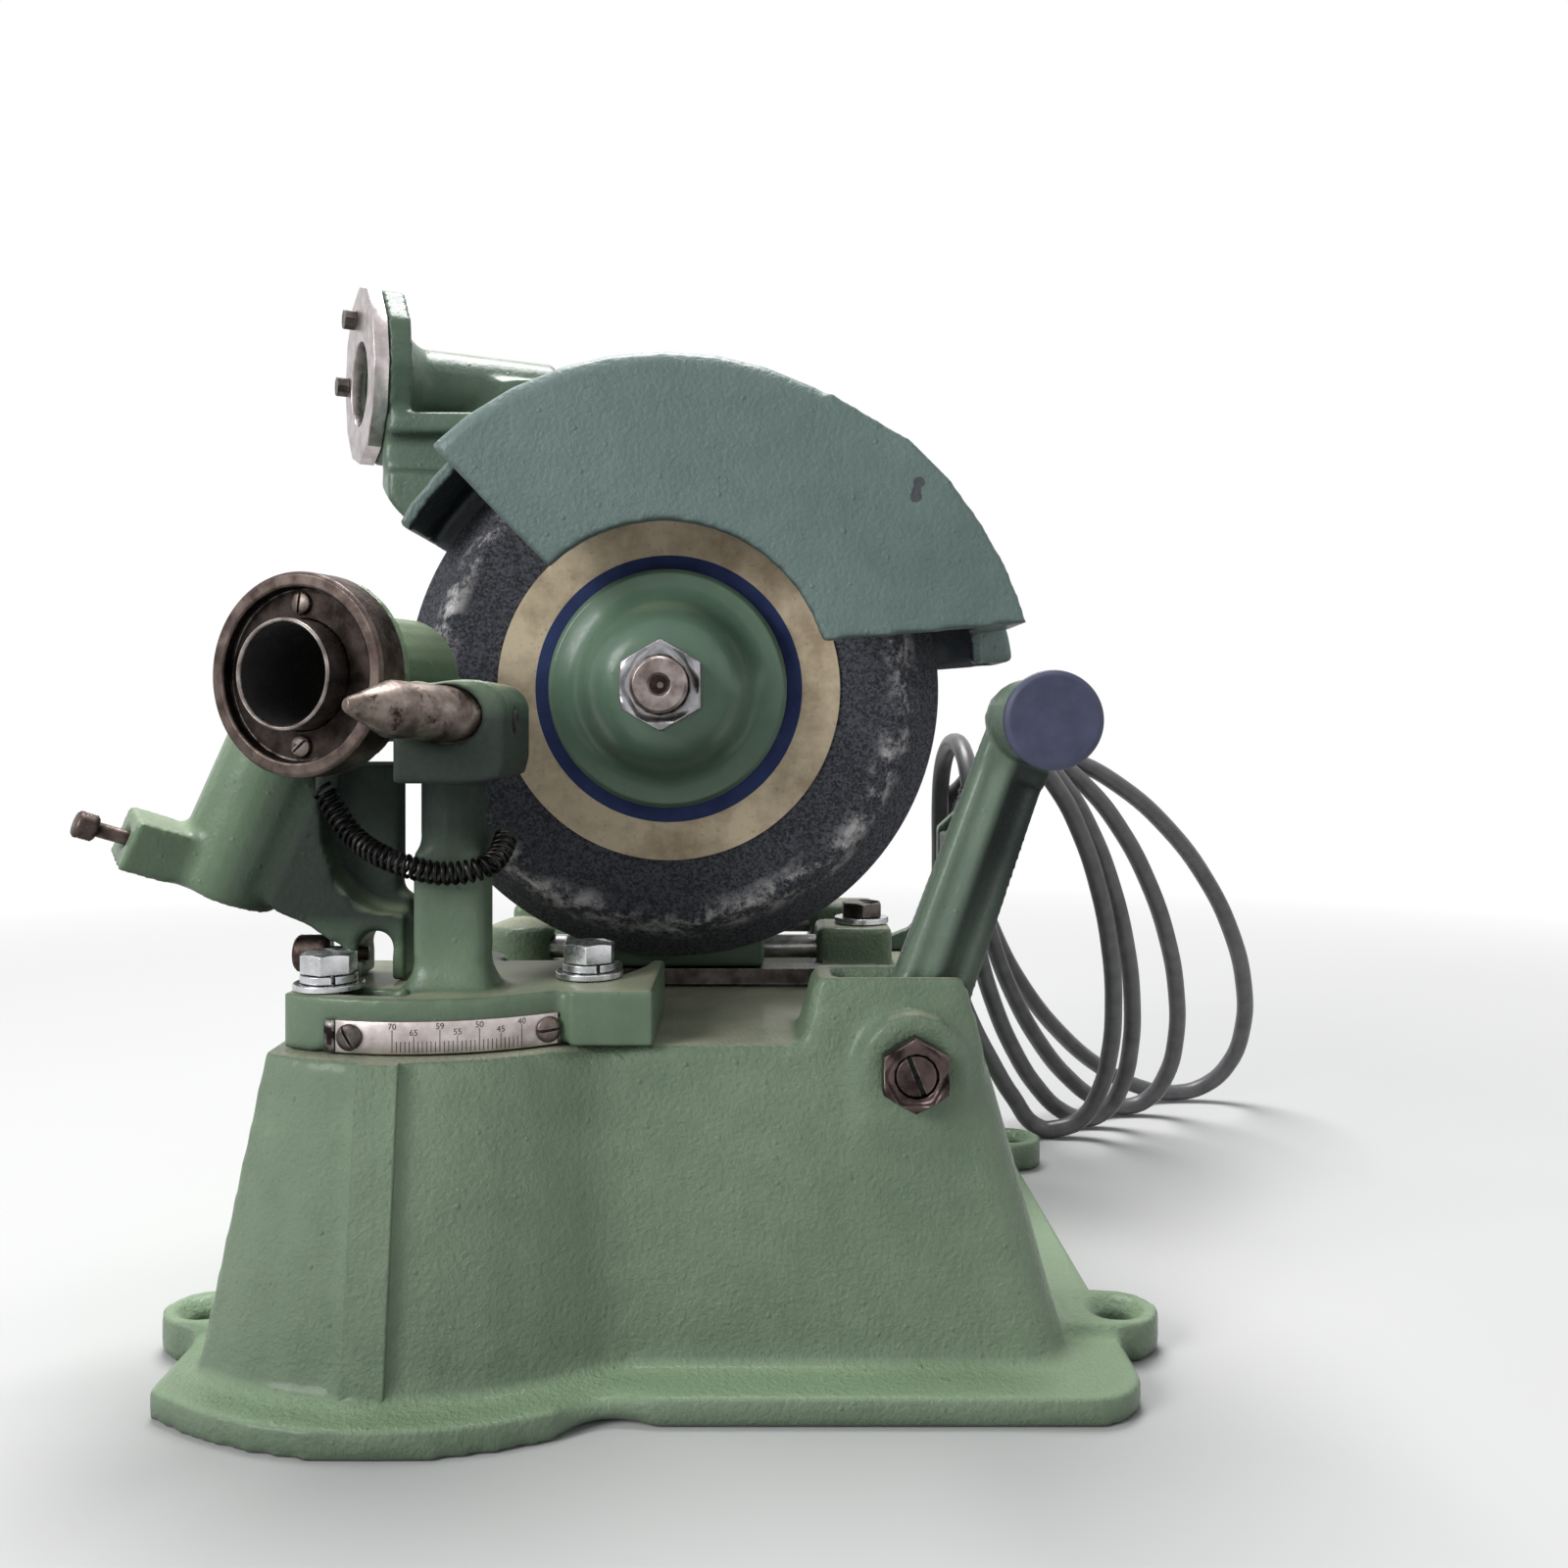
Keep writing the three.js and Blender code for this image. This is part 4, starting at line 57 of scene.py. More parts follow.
RIGHT = Vector((1, 0, 0))
BACK = Vector((0, 1, 0))
UP = Vector((0, 0, 1))
WHEEL_AXIS_HEIGHT = 221
SWIVEL = (-77.6, 77.5)
SCALE_HEIGHT = 110.8
CHUCK_YAW = math.radians(20)
CHUCK_WAY = Vector((math.sin(CHUCK_YAW), math.cos(CHUCK_YAW), 0))
CHUCK_FRONT = Vector((*SWIVEL, 223)) - 90.5 * CHUCK_WAY
LEVER_LEAN = math.radians(19.7)
LEVER_PIVOT = Vector((82, 0, 98))
LEVER_ACROSS = Vector((math.cos(LEVER_LEAN), 0, -math.sin(LEVER_LEAN)))
LEVER_ALONG = Vector((math.sin(LEVER_LEAN), 0, math.cos(LEVER_LEAN)))
CORD_RADIUS = 4.25
CORD_GLAND = Vector((128, 189.5, 168.6))


# Camera, floor and lights

PHOTO_WIDTH = 1600
FOCAL_PIXELS = 1400
VANISHING_POINT = (773, 742)
CAMERA_PLACE = (0.0324, -0.4245, 0.207)
FLOOR_HEIGHT = -0.0003


def set_camera():
    lens = bpy.data.cameras.new("bench_camera")
    lens.sensor_width = 36
    lens.lens = lens.sensor_width * FOCAL_PIXELS / PHOTO_WIDTH
    lens.shift_x = 0.5 - VANISHING_POINT[0] / PHOTO_WIDTH
    lens.shift_y = VANISHING_POINT[1] / PHOTO_WIDTH - 0.5
    lens.clip_start = 0.01
    camera = bpy.data.objects.new("bench_camera", lens)
    camera.location = CAMERA_PLACE
    camera.rotation_euler = (math.pi / 2, 0, 0)
    bpy.context.scene.collection.objects.link(camera)
    bpy.context.scene.camera = camera


def add_lamp(name, place, target, size, power):
    light = bpy.data.lights.new(name, "AREA")
    light.shape = "DISK"
    light.size = size
    light.energy = power
    lamp = bpy.data.objects.new(name, light)
    lamp.location = place
    lamp.rotation_euler = (Vector(target) - Vector(place)).to_track_quat("-Z", "Y").to_euler()
    bpy.context.scene.collection.objects.link(lamp)


def set_lights():
    add_lamp("overhead_lamp", (-0.1, 0.5, 1.6), (0, 0.1, 0.15), 0.9, 30)
    add_lamp("front_lamp", (-1.25, -1.05, 0.95), (0, 0.1, 0.15), 0.9, 21)
    add_lamp("right_lamp", (1.5, -0.5, 0.7), (0, 0.1, 0.2), 1.0, 1.5)


def set_world():
    world = bpy.data.worlds.new("studio")
    bpy.context.scene.world = world
    world.use_nodes = True
    tree = Tree(world.node_tree)
    paths = tree.add("ShaderNodeLightPath")
    seen = tree.math("ADD", paths.outputs["Is Camera Ray"], paths.outputs["Is Glossy Ray"])
    clear = tree.math("ADD", seen, paths.outputs["Is Transmission Ray"], clamp=True)
    ambient = tree.add("ShaderNodeBackground", {"Color": (0.92, 0.96, 1, 1), "Strength": 0.25})
    backdrop = tree.add("ShaderNodeBackground", {"Color": (1, 1, 1, 1), "Strength": 1.0})
    both = tree.add("ShaderNodeMixShader", {0: clear, 1: ambient.outputs[0], 2: backdrop.outputs[0]})
    tree.add("ShaderNodeOutputWorld", {"Surface": both.outputs[0]})


def add_floor(material):
    body = bmesh.new()
    bmesh.ops.create_grid(body, x_segments=1, y_segments=1, size=3)
    bmesh.ops.translate(body, verts=body.verts, vec=(0, 1, FLOOR_HEIGHT))
    floor = new_object("studio_floor", body, material)


# Node trees

class Tree:
    def __init__(self, tree):
        self.tree = tree
        tree.nodes.clear()

    def add(self, kind, inputs=None, **settings):
        node = self.tree.nodes.new(kind)
        for name, value in settings.items():
            setattr(node, name, value)
        for name, value in (inputs or {}).items():
            if isinstance(value, bpy.types.NodeSocket):
                self.tree.links.new(value, node.inputs[name])
            else:
                node.inputs[name].default_value = value
        return node

    def math(self, operation, first, second=0.0, clamp=False):
        return self.add("ShaderNodeMath", {0: first, 1: second}, operation=operation,
                        use_clamp=clamp).outputs[0]

    def vector(self, operation, first, second, result):
        return self.add("ShaderNodeVectorMath", {0: first, 1: second}, operation=operation).outputs[result]

    def parts(self, vector):
        return self.add("ShaderNodeSeparateXYZ", {0: vector}).outputs

    def noise(self, place, scale, detail=4.0, roughness=0.55):
        return self.add("ShaderNodeTexNoise", {"Vector": place, "Scale": scale, "Detail": detail,
                                               "Roughness": roughness}).outputs["Fac"]

    def span(self, value, low, high, start=0.0, end=1.0):
        return self.add("ShaderNodeMapRange", {"Value": value, "From Min": low, "From Max": high,
                                               "To Min": start, "To Max": end}).outputs[0]

    def blend(self, share, first, second):
        return self.add("ShaderNodeMix", {0: share, 6: first, 7: second}, data_type="RGBA").outputs[2]

    def bump(self, height, strength, distance):
        return self.add("ShaderNodeBump", {"Strength": strength, "Distance": distance,
                                           "Height": height}).outputs[0]


def make_group(build, inputs, outputs):
    group = bpy.data.node_groups.new(build.__name__, "ShaderNodeTree")
    for label, kind in {"Place": "Vector", **inputs}.items():
        group.interface.new_socket(label, in_out="INPUT", socket_type="NodeSocket" + kind)
    for label in outputs:
        group.interface.new_socket(label, in_out="OUTPUT", socket_type="NodeSocketFloat")
    tree = Tree(group)
    tree.add("NodeGroupOutput", build(tree, tree.add("NodeGroupInput").outputs))
    return group


def casting_skin(tree, given):
    place = given["Place"]
    swell = tree.noise(place, 90.0, 3.0)
    grain = tree.noise(place, 560.0, 5.0, 0.6)
    cells = tree.add("ShaderNodeTexVoronoi", {"Vector": place, "Scale": 240.0}).outputs
    share = tree.add("ShaderNodeTexWhiteNoise", {"Vector": cells["Position"]}).outputs["Value"]
    chosen = tree.math("GREATER_THAN", share, 0.86)
    pimples = tree.math("MULTIPLY", chosen, tree.span(cells["Distance"], 0.24, 0.04))
    height = tree.math("ADD", tree.math("MULTIPLY", swell, 0.6),
                       tree.math("MULTIPLY", grain, given["Texture"]))
    height = tree.math("ADD", height, tree.math("MULTIPLY", pimples, 0.5))
    return {"Height": height, "Swell": swell, "Grain": grain}


def edge_wear(tree, given):
    rounded = tree.add("ShaderNodeBevel", {"Radius": given["Reach"]}, samples=6).outputs[0]
    flat = tree.add("ShaderNodeNewGeometry").outputs["Normal"]
    edge = tree.span(tree.vector("DOT_PRODUCT", rounded, flat, "Value"), 0.995, 0.9)
    torn = tree.span(tree.noise(given["Place"], 160.0, 6.0, 0.65), given["Cover"], 0.72)
    return {"Wear": tree.math("MULTIPLY", edge, torn, clamp=True)}


def brushed_grain(tree, given):
    place = given["Place"]
    stretched = tree.add("ShaderNodeMapping", {"Vector": place, "Scale": given["Stretch"]}).outputs[0]
    return {"Lines": tree.noise(stretched, 900.0, 3.0), "Blotch": tree.noise(place, 160.0)}


SKIN = make_group(casting_skin, {"Texture": "Float"}, ("Height", "Swell", "Grain"))
WEAR = make_group(edge_wear, {"Reach": "Float", "Cover": "Float"}, ("Wear",))
BRUSHED = make_group(brushed_grain, {"Stretch": "Vector"}, ("Lines", "Blotch"))


def start_material(name):
    material = bpy.data.materials.new(name)
    material.use_nodes = True
    tree = Tree(material.node_tree)
    return material, tree, tree.add("ShaderNodeTexCoord").outputs["Object"]


def close_material(tree, inputs):
    shader = tree.add("ShaderNodeBsdfPrincipled", inputs)
    tree.add("ShaderNodeOutputMaterial", {"Surface": shader.outputs[0]})


def grouped(tree, group, inputs):
    return tree.add("ShaderNodeGroup", inputs, node_tree=group).outputs


# Painted shade: the near-black tone that undersides and shaded parts of the castings are darkened towards
SHADE_TONE = (0.009, 0.013, 0.014, 1)
CHIP_RAGGEDNESS = 0.0012
CHIP_RIM = 0.00012


# A grading runs from unshaded to shaded, as distances in metres along a way from its start. A zone is
# as shaded as the product of its gradings, and a paint as its most shaded zone; all of it is painted shade.

def grading(unshaded, shaded, way=UP, start=(0, 0, 0)):
    return start, way, unshaded, shaded


def grime_cover(tree, place, zones, share):
    shade_cover = 0.0
    for zone in zones:
        zone_shade = share
        for start, way, unshaded, shaded in zone:
            away = tree.vector("SUBTRACT", place, start, 0)
            along = tree.vector("DOT_PRODUCT", away, way, "Value")
            zone_shade = tree.math("MULTIPLY", tree.span(along, unshaded, shaded), zone_shade)
        shade_cover = tree.math("MAXIMUM", zone_shade, shade_cover)
    return shade_cover


def cast_paint(name, light, dark, swell=0.5, texture=0.35, dust_and_sheen=(0.40, 0.43, 0.27, 1), dust_and_sheen_share=0.45,
               dust_and_sheen_above=0.0, dust_and_sheen_slope=0.8, painted_shade=(), painted_shade_share=0.0, highlight_below=0.0, chips=()):
    material, tree, place = start_material(name)
    facing = tree.parts(tree.add("ShaderNodeTexCoord").outputs["Normal"])[2]
    height = tree.parts(place)[2]
    skin = grouped(tree, SKIN, {"Place": place, "Texture": texture})
    tone = tree.math("ADD", tree.math("MULTIPLY", tree.noise(place, 14.0, 3.0), 0.7),
                     tree.math("MULTIPLY", skin["Swell"], 0.3))
    colour = tree.blend(tree.span(tone, 0.35, 0.65), dark, light)
    speck = tree.span(tree.noise(place, 420.0, 2.0), 0.7, 0.78, 0.0, 0.3)
    colour = tree.blend(speck, colour, (0.06, 0.09, 0.065, 1))
    # Painted shade: faces turned downwards are darkened towards the shade tone
    underside_shade = tree.math("MULTIPLY", tree.span(facing, 0.05, -0.75), 0.55)
    colour = tree.blend(underside_shade, colour, SHADE_TONE)
    # Painted shade: the zones given to a paint darken it towards the shade tone
    shade_cover = grime_cover(tree, place, painted_shade, painted_shade_share)
    if painted_shade:
        colour = tree.blend(shade_cover, colour, SHADE_TONE)

    # Upward faces above a height are paled towards a dust tone: partly dust, partly painted highlight from
    # the light above
    upturned = tree.math("MULTIPLY", tree.span(facing, dust_and_sheen_slope, 0.98),
                        tree.span(height, dust_and_sheen_above - 0.004, dust_and_sheen_above))
    patchy = tree.span(tree.noise(place, 38.0, 6.0, 0.6), 0.3, 0.62, 0.45, 1.0)
    dust_and_sheen_cover = tree.math("MULTIPLY", tree.math("MULTIPLY", upturned, patchy), dust_and_sheen_share)
    colour = tree.blend(dust_and_sheen_cover, colour, dust_and_sheen)
    # Painted highlight: upward faces below a height, such as the flange top, are paled as if strongly lit
    if highlight_below:
        low = tree.math("MULTIPLY", tree.span(facing, 0.5, 0.95),
                        tree.span(height, highlight_below, highlight_below - 0.006))
        colour = tree.blend(tree.math("MULTIPLY", low, 0.75), colour, (0.33, 0.46, 0.28, 1))

    wear = grouped(tree, WEAR, {"Place": place, "Reach": 0.0012, "Cover": 0.62})
    colour = tree.blend(tree.math("MULTIPLY", wear["Wear"], 0.5), colour, (0.30, 0.34, 0.26, 1))
    ragged = tree.math("MULTIPLY", tree.math("SUBTRACT", tree.noise(place, 600.0, 3.0), 0.5), CHIP_RAGGEDNESS)
    for spot, reach in chips:
        away = tree.math("ADD", tree.vector("DISTANCE", place, spot, "Value"), ragged)
        bare = tree.span(away, reach + CHIP_RIM, reach - CHIP_RIM)
        colour = tree.blend(bare, colour, (0.055, 0.06, 0.07, 1))

    roughness = tree.math("ADD", tree.span(skin["Grain"], 0.3, 0.7, 0.27, 0.45),
                          tree.math("MULTIPLY", dust_and_sheen_cover, 0.4))
    roughness = tree.math("ADD", roughness, tree.math("MULTIPLY", shade_cover, 0.4))
    lacquer = tree.math("MULTIPLY", tree.span(skin["Swell"], 0.2, 0.8, 0.17, 0.27),
                        tree.math("SUBTRACT", 1.0, shade_cover))
    close_material(tree, {
        "Base Color": colour, "Roughness": roughness, "Normal": tree.bump(skin["Height"], swell, 0.0015),
        "Specular IOR Level": 0.28, "Coat Weight": lacquer, "Coat Roughness": 0.18})
    return material


def steel(name, bright, dull, roughness, stretch=(1.0, 1.0, 1.0), rust=None, rust_cover=0.6, metallic=1.0):
    material, tree, place = start_material(name)
    grain = grouped(tree, BRUSHED, {"Place": place, "Stretch": stretch})
    colour = tree.blend(tree.span(grain["Blotch"], 0.35, 0.65), dull, bright)
    if rust:
        patches = tree.span(tree.noise(place, 220.0, 6.0, 0.7), rust_cover, rust_cover + 0.08)
        colour = tree.blend(patches, colour, rust)
    wear = grouped(tree, WEAR, {"Place": place, "Reach": 0.0007, "Cover": 0.4})
    colour = tree.blend(tree.math("MULTIPLY", wear["Wear"], 0.6), colour, (0.62, 0.6, 0.57, 1))
    rough = tree.span(grain["Lines"], 0.3, 0.7, roughness * 0.75, roughness * 1.3)
    close_material(tree, {"Base Color": colour, "Roughness": rough, "Metallic": metallic,
                          "Normal": tree.bump(grain["Lines"], 0.25, 0.00008)})
    return material


def wheel_radius(tree, place):
    across, along, height = tree.parts(place)
    rise = tree.math("SUBTRACT", height, WHEEL_AXIS_HEIGHT * MM)
    return tree.math("SQRT", tree.math("ADD", tree.math("MULTIPLY", across, across),
                                       tree.math("MULTIPLY", rise, rise)))


def wheel_abrasive():
    material, tree, place = start_material("wheel_abrasive")
    grit = tree.add("ShaderNodeTexVoronoi", {"Vector": place, "Scale": 1300.0}).outputs["Color"]
    shade = tree.add("ShaderNodeSeparateColor", {0: grit}).outputs[0]
    speckle = tree.math("ADD", tree.math("MULTIPLY", shade, 0.5),
                        tree.math("MULTIPLY", tree.noise(place, 700.0), 0.5))
    colour = tree.blend(tree.span(speckle, 0.3, 0.72), (0.026, 0.027, 0.032, 1), (0.098, 0.1, 0.118, 1))
    wobble = tree.math("MULTIPLY", tree.math("SUBTRACT", tree.noise(place, 25.0, 3.0), 0.5), 0.012)
    band = tree.math("ADD", wheel_radius(tree, place), wobble)
    breaks = tree.span(tree.noise(place, 95.0, 7.0, 0.75), 0.47, 0.63)
    # Painted highlight: a broken pale band where the flat face turns into the bevel
    band_highlight = tree.math("MULTIPLY", tree.span(band, 0.0775, 0.0845), tree.span(band, 0.0925, 0.0865))
    band_highlight = tree.math("MULTIPLY", band_highlight, breaks)
    colour = tree.blend(tree.math("MULTIPLY", band_highlight, 0.95), colour, (0.72, 0.69, 0.70, 1))
    close_material(tree, {"Base Color": colour, "Roughness": 0.9, "Specular IOR Level": 0.25,
                          "Normal": tree.bump(speckle, 0.8, 0.0007)})
    return material


LABEL_RING_RADIUS = 0.0487


def label_paper():
    material, tree, place = start_material("label_paper")
    stain = tree.noise(place, 60.0, 7.0, 0.65)
    paper = tree.blend(tree.span(stain, 0.36, 0.6), (0.40, 0.31, 0.21, 1), (0.66, 0.55, 0.39, 1))
    fleck = tree.span(tree.noise(place, 600.0, 3.0), 0.62, 0.72, 0.0, 0.45)
    paper = tree.blend(fleck, paper, (0.2, 0.15, 0.1, 1))
    ink = tree.blend(tree.span(stain, 0.3, 0.7), (0.012, 0.022, 0.085, 1), (0.03, 0.05, 0.15, 1))
    ring = tree.math("LESS_THAN", wheel_radius(tree, place), LABEL_RING_RADIUS)
    close_material(tree, {"Base Color": tree.blend(ring, paper, ink), "Roughness": 0.75,
                          "Specular IOR Level": 0.3, "Normal": tree.bump(stain, 0.3, 0.0003)})
    return material


def plastic(name, colour, lighter, roughness):
    material, tree, place = start_material(name)
    cloud = tree.noise(place, 120.0, 5.0)
    shown = tree.blend(tree.span(cloud, 0.35, 0.7), colour, lighter)
    rough = tree.span(cloud, 0.3, 0.7, roughness * 0.85, roughness * 1.15)
    close_material(tree, {"Base Color": shown, "Roughness": rough,
                          "Normal": tree.bump(tree.noise(place, 1400.0, 2.0), 0.12, 0.0002)})
    return material


def floor_paint():
    material, tree, place = start_material("floor_paint")
    colour = tree.blend(tree.noise(place, 3.0, 3.0), (0.60, 0.60, 0.595, 1), (0.64, 0.64, 0.635, 1))
    far = tree.span(tree.vector("DISTANCE", place, (0.03, 0.1, 0.0), "Value"), 0.3, 1.3)
    faded = tree.math("MULTIPLY", far, tree.add("ShaderNodeLightPath").outputs["Is Camera Ray"])
    paint = tree.add("ShaderNodeBsdfPrincipled",
                     {"Base Color": colour, "Roughness": 0.8, "Specular IOR Level": 0.2}).outputs[0]
    white = tree.add("ShaderNodeEmission", {"Color": (1, 1, 1, 1), "Strength": 1.0}).outputs[0]
    both = tree.add("ShaderNodeMixShader", {0: faded, 1: paint, 2: white}).outputs[0]
    tree.add("ShaderNodeOutputMaterial", {"Surface": both})
    return material


# The seat top is paled by dust together with painted highlight, the flange top by painted highlight
PAINT = cast_paint(
    "base_paint", (0.190, 0.262, 0.172, 1), (0.135, 0.195, 0.125, 1), swell=0.7, texture=1.0,
    dust_and_sheen=(0.52, 0.51, 0.38, 1), dust_and_sheen_share=0.85, dust_and_sheen_above=0.1, highlight_below=0.026)
# Painted shade darkens the post of the table below its head
TABLE_PAINT = cast_paint(
    "table_paint", (0.165, 0.235, 0.15, 1), (0.10, 0.155, 0.10, 1), dust_and_sheen=(0.46, 0.46, 0.32, 1),
    dust_and_sheen_share=0.8, dust_and_sheen_above=0.12, painted_shade_share=0.88,
    painted_shade=[[grading(0.135, 0.176), grading(0.223, 0.209)]])
# Painted shadow darkens the web behind the post and painted shade the right side of the barrel; the pale tops
# are dust with painted highlight
HEAD_PAINT = cast_paint(
    "head_paint", (0.150, 0.225, 0.135, 1), (0.105, 0.165, 0.100, 1), dust_and_sheen=(0.40, 0.48, 0.32, 1),
    dust_and_sheen_share=0.7, dust_and_sheen_slope=0.2, painted_shade_share=0.9, painted_shade=[
        [grading(-0.120, -0.107, RIGHT), grading(0.150, 0.172), grading(0.207, 0.199)],
        [grading(0.001, 0.021, (0.912, 0, -0.41), (-0.1488, 0.04, 0.152)), grading(0.130, 0.145),
         grading(0.212, 0.204)]])
# Painted shade darkens the right half of the lever's face, along the flute below the cap
LEVER_PAINT = cast_paint(
    "lever_paint", (0.155, 0.215, 0.155, 1), (0.11, 0.16, 0.115, 1), painted_shade_share=0.93, painted_shade=[
        [grading(-0.0025, 0.0008, LEVER_ACROSS, LEVER_PIVOT * MM),
         grading(0.108, 0.103, LEVER_ALONG, LEVER_PIVOT * MM),
         grading(-0.02, 0.075, LEVER_ALONG, LEVER_PIVOT * MM)]])
GUARD_PAINT = cast_paint(
    "guard_paint", (0.155, 0.22, 0.205, 1), (0.115, 0.17, 0.155, 1), swell=0.7, texture=0.7, chips=(
        ((0.0877, 0.045, 0.2908), 0.0020), ((0.0868, 0.045, 0.2880), 0.0017),
        ((0.0866, 0.045, 0.2860), 0.0021)))
# Painted shade for the inside of the guard
GUARD_SHADE_PAINT = cast_paint("guard_painted_shade", (0.045, 0.055, 0.065, 1), (0.028, 0.034, 0.042, 1))
SHADE_PAINT = cast_paint("shade_paint", (0.10, 0.155, 0.105, 1), (0.06, 0.10, 0.07, 1))
FLANGE_PAINT = cast_paint("flange_paint", (0.125, 0.205, 0.14, 1), (0.09, 0.155, 0.105, 1), swell=0.15)
OILED_STEEL = steel("oiled_steel", (0.13, 0.115, 0.105, 1), (0.05, 0.04, 0.036, 1), 0.42)
BROWN_STEEL = steel("brown_steel", (0.115, 0.088, 0.078, 1), (0.038, 0.028, 0.025, 1), 0.42,
                    rust=(0.07, 0.035, 0.022, 1))
NUT_STEEL = steel("nut_steel", (0.10, 0.072, 0.068, 1), (0.03, 0.022, 0.021, 1), 0.33)
PIN_STEEL = steel("pin_steel", (0.23, 0.19, 0.168, 1), (0.075, 0.056, 0.048, 1), 0.42,
                  rust=(0.035, 0.022, 0.017, 1), rust_cover=0.56)
# Brown steel darkened with painted shade, for the chuck ring's recess and the bare ends of the scale plate's
# recess
RECESS_SHADE_STEEL = steel("recess_shade_steel", (0.04, 0.031, 0.028, 1), (0.013, 0.010, 0.009, 1), 0.5)
ARBOR_STEEL = steel("arbor_steel", (0.34, 0.29, 0.275, 1), (0.15, 0.12, 0.11, 1), 0.36)
ZINC = steel("zinc_plate", (0.66, 0.67, 0.69, 1), (0.48, 0.49, 0.5, 1), 0.3)
WORN_STEEL = steel("worn_steel", (0.40, 0.40, 0.42, 1), (0.23, 0.225, 0.235, 1), 0.33)
GROUND_STEEL = steel("ground_steel", (0.62, 0.6, 0.6, 1), (0.42, 0.40, 0.40, 1), 0.34)
SLEEVE_STEEL = steel("sleeve_steel", (0.36, 0.32, 0.30, 1), (0.16, 0.13, 0.12, 1), 0.34)
SCALE_STEEL = steel("scale_steel", (0.64, 0.575, 0.565, 1), (0.42, 0.36, 0.35, 1), 0.4,
                    stretch=(0.1, 0.1, 3.0), metallic=0.75)
PLATE_STEEL = steel("plate_steel", (0.55, 0.51, 0.51, 1), (0.38, 0.33, 0.33, 1), 0.36)
SPRING_STEEL = steel("spring_steel", (0.03, 0.028, 0.028, 1), (0.01, 0.009, 0.009, 1), 0.34)
# Painted shade: a near-black finish for bore walls, screw slot floors and the set screw's socket
BORE_SHADE = steel("bore_painted_shade", (0.014, 0.012, 0.012, 1), (0.006, 0.005, 0.005, 1), 0.7, metallic=0.0)
COPPER = steel("winding_copper", (0.45, 0.22, 0.12, 1), (0.3, 0.14, 0.07, 1), 0.5)
ABRASIVE = wheel_abrasive()
PAPER = label_paper()
CAP_PLASTIC = plastic("cap_plastic", (0.034, 0.038, 0.078, 1), (0.06, 0.066, 0.125, 1), 0.55)
BLACK_PLASTIC = plastic("black_plastic", (0.012, 0.012, 0.014, 1), (0.03, 0.03, 0.034, 1), 0.45)
CORD_RUBBER = plastic("cord_rubber", (0.085, 0.083, 0.088, 1), (0.135, 0.132, 0.138, 1), 0.36)
SCALE_INK = plastic("scale_ink", (0.02, 0.018, 0.018, 1), (0.05, 0.045, 0.045, 1), 0.7)


# Bodies. A turned profile lists (radius, distance along the axis), and a ring's profile ends where it starts

ROUNDING_ANGLE = math.radians(32)
FLAT_ANGLE = math.radians(0.4)


def new_object(name, body, material):
    shape = bpy.data.meshes.new(name)
    body.to_mesh(shape)
    body.free()
    shape.materials.append(material)
    shape.shade_smooth()
    piece = bpy.data.objects.new(name, shape)
    bpy.context.scene.collection.objects.link(piece)
    return piece


def soften(piece, width, segments=3):
    rounding = piece.modifiers.new("rounding", "BEVEL")
    rounding.width = width * MM
    rounding.segments = segments
    rounding.limit_method = "ANGLE"
    rounding.angle_limit = ROUNDING_ANGLE
    rounding.use_clamp_overlap = False
    rounding.harden_normals = True
    return piece


def fit(piece, body, slot, *nodes):
    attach(piece, body)
    if nodes:
        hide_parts(*nodes)
    return piece


def owner(node):
    members = frame["record"]["behaviour"]["bodies"]
    body = next(name for name, nodes in members.items() if node in nodes)
    slot = next(row["material_slot"] for row in frame["record"]["subparts"] if row["node"] == node)
    return body, slot


def stand_in(piece, *nodes):
    return fit(piece, *owner(nodes[0]), *nodes)


def aim(body, place, way):
    turn = BACK.rotation_difference(Vector(way)).to_matrix().to_4x4()
    bmesh.ops.transform(body, verts=body.verts, matrix=Matrix.Translation(Vector(place) * MM) @ turn)
    return body


def turned(profile, steps):
    body = bmesh.new()
    closed = profile[0] == profile[-1]
    places = profile[:-1] if closed else profile
    points = [body.verts.new((radius * MM, along * MM, 0)) for radius, along in places]
    pairs = list(zip(points, points[1:])) + ([(points[-1], points[0])] if closed else [])
    edges = [body.edges.new(pair) for pair in pairs]
    bmesh.ops.spin(body, geom=points + edges, axis=(0, 1, 0), cent=(0, 0, 0), dvec=(0, 0, 0),
                   angle=2 * math.pi, steps=steps, use_merge=True, use_duplicate=False)
    bmesh.ops.remove_doubles(body, verts=body.verts, dist=SAME_PLACE)
    bmesh.ops.recalc_face_normals(body, faces=body.faces)
    return body


def ring_profile(inner, outer, start, end):
    return [(inner, start), (outer, start), (outer, end), (inner, end), (inner, start)]


def add_turned(name, profile, steps, place, way, material, node, width, segments=3):
    piece = new_object(name, aim(turned(profile, steps), place, way), material)
    return stand_in(soften(piece, width, segments), node)


def bake(piece):
    state = bpy.context.evaluated_depsgraph_get()
    finished = bpy.data.meshes.new_from_object(piece.evaluated_get(state))
    materials = list(piece.data.materials)
    piece.modifiers.clear()
    piece.data = finished
    finished.materials.clear()
    for material in materials:
        finished.materials.append(material)
    finished.shade_smooth()


def carve(piece, cutter):
    tool = bpy.data.objects.new("cutter", bpy.data.meshes.new("cutter"))
    cutter.to_mesh(tool.data)
    cutter.free()
    bpy.context.scene.collection.objects.link(tool)
    change = piece.modifiers.new("carving", "BOOLEAN")
    change.operation = "DIFFERENCE"
    change.solver = "EXACT"
    change.object = tool
    bake(piece)
    bpy.data.objects.remove(tool)


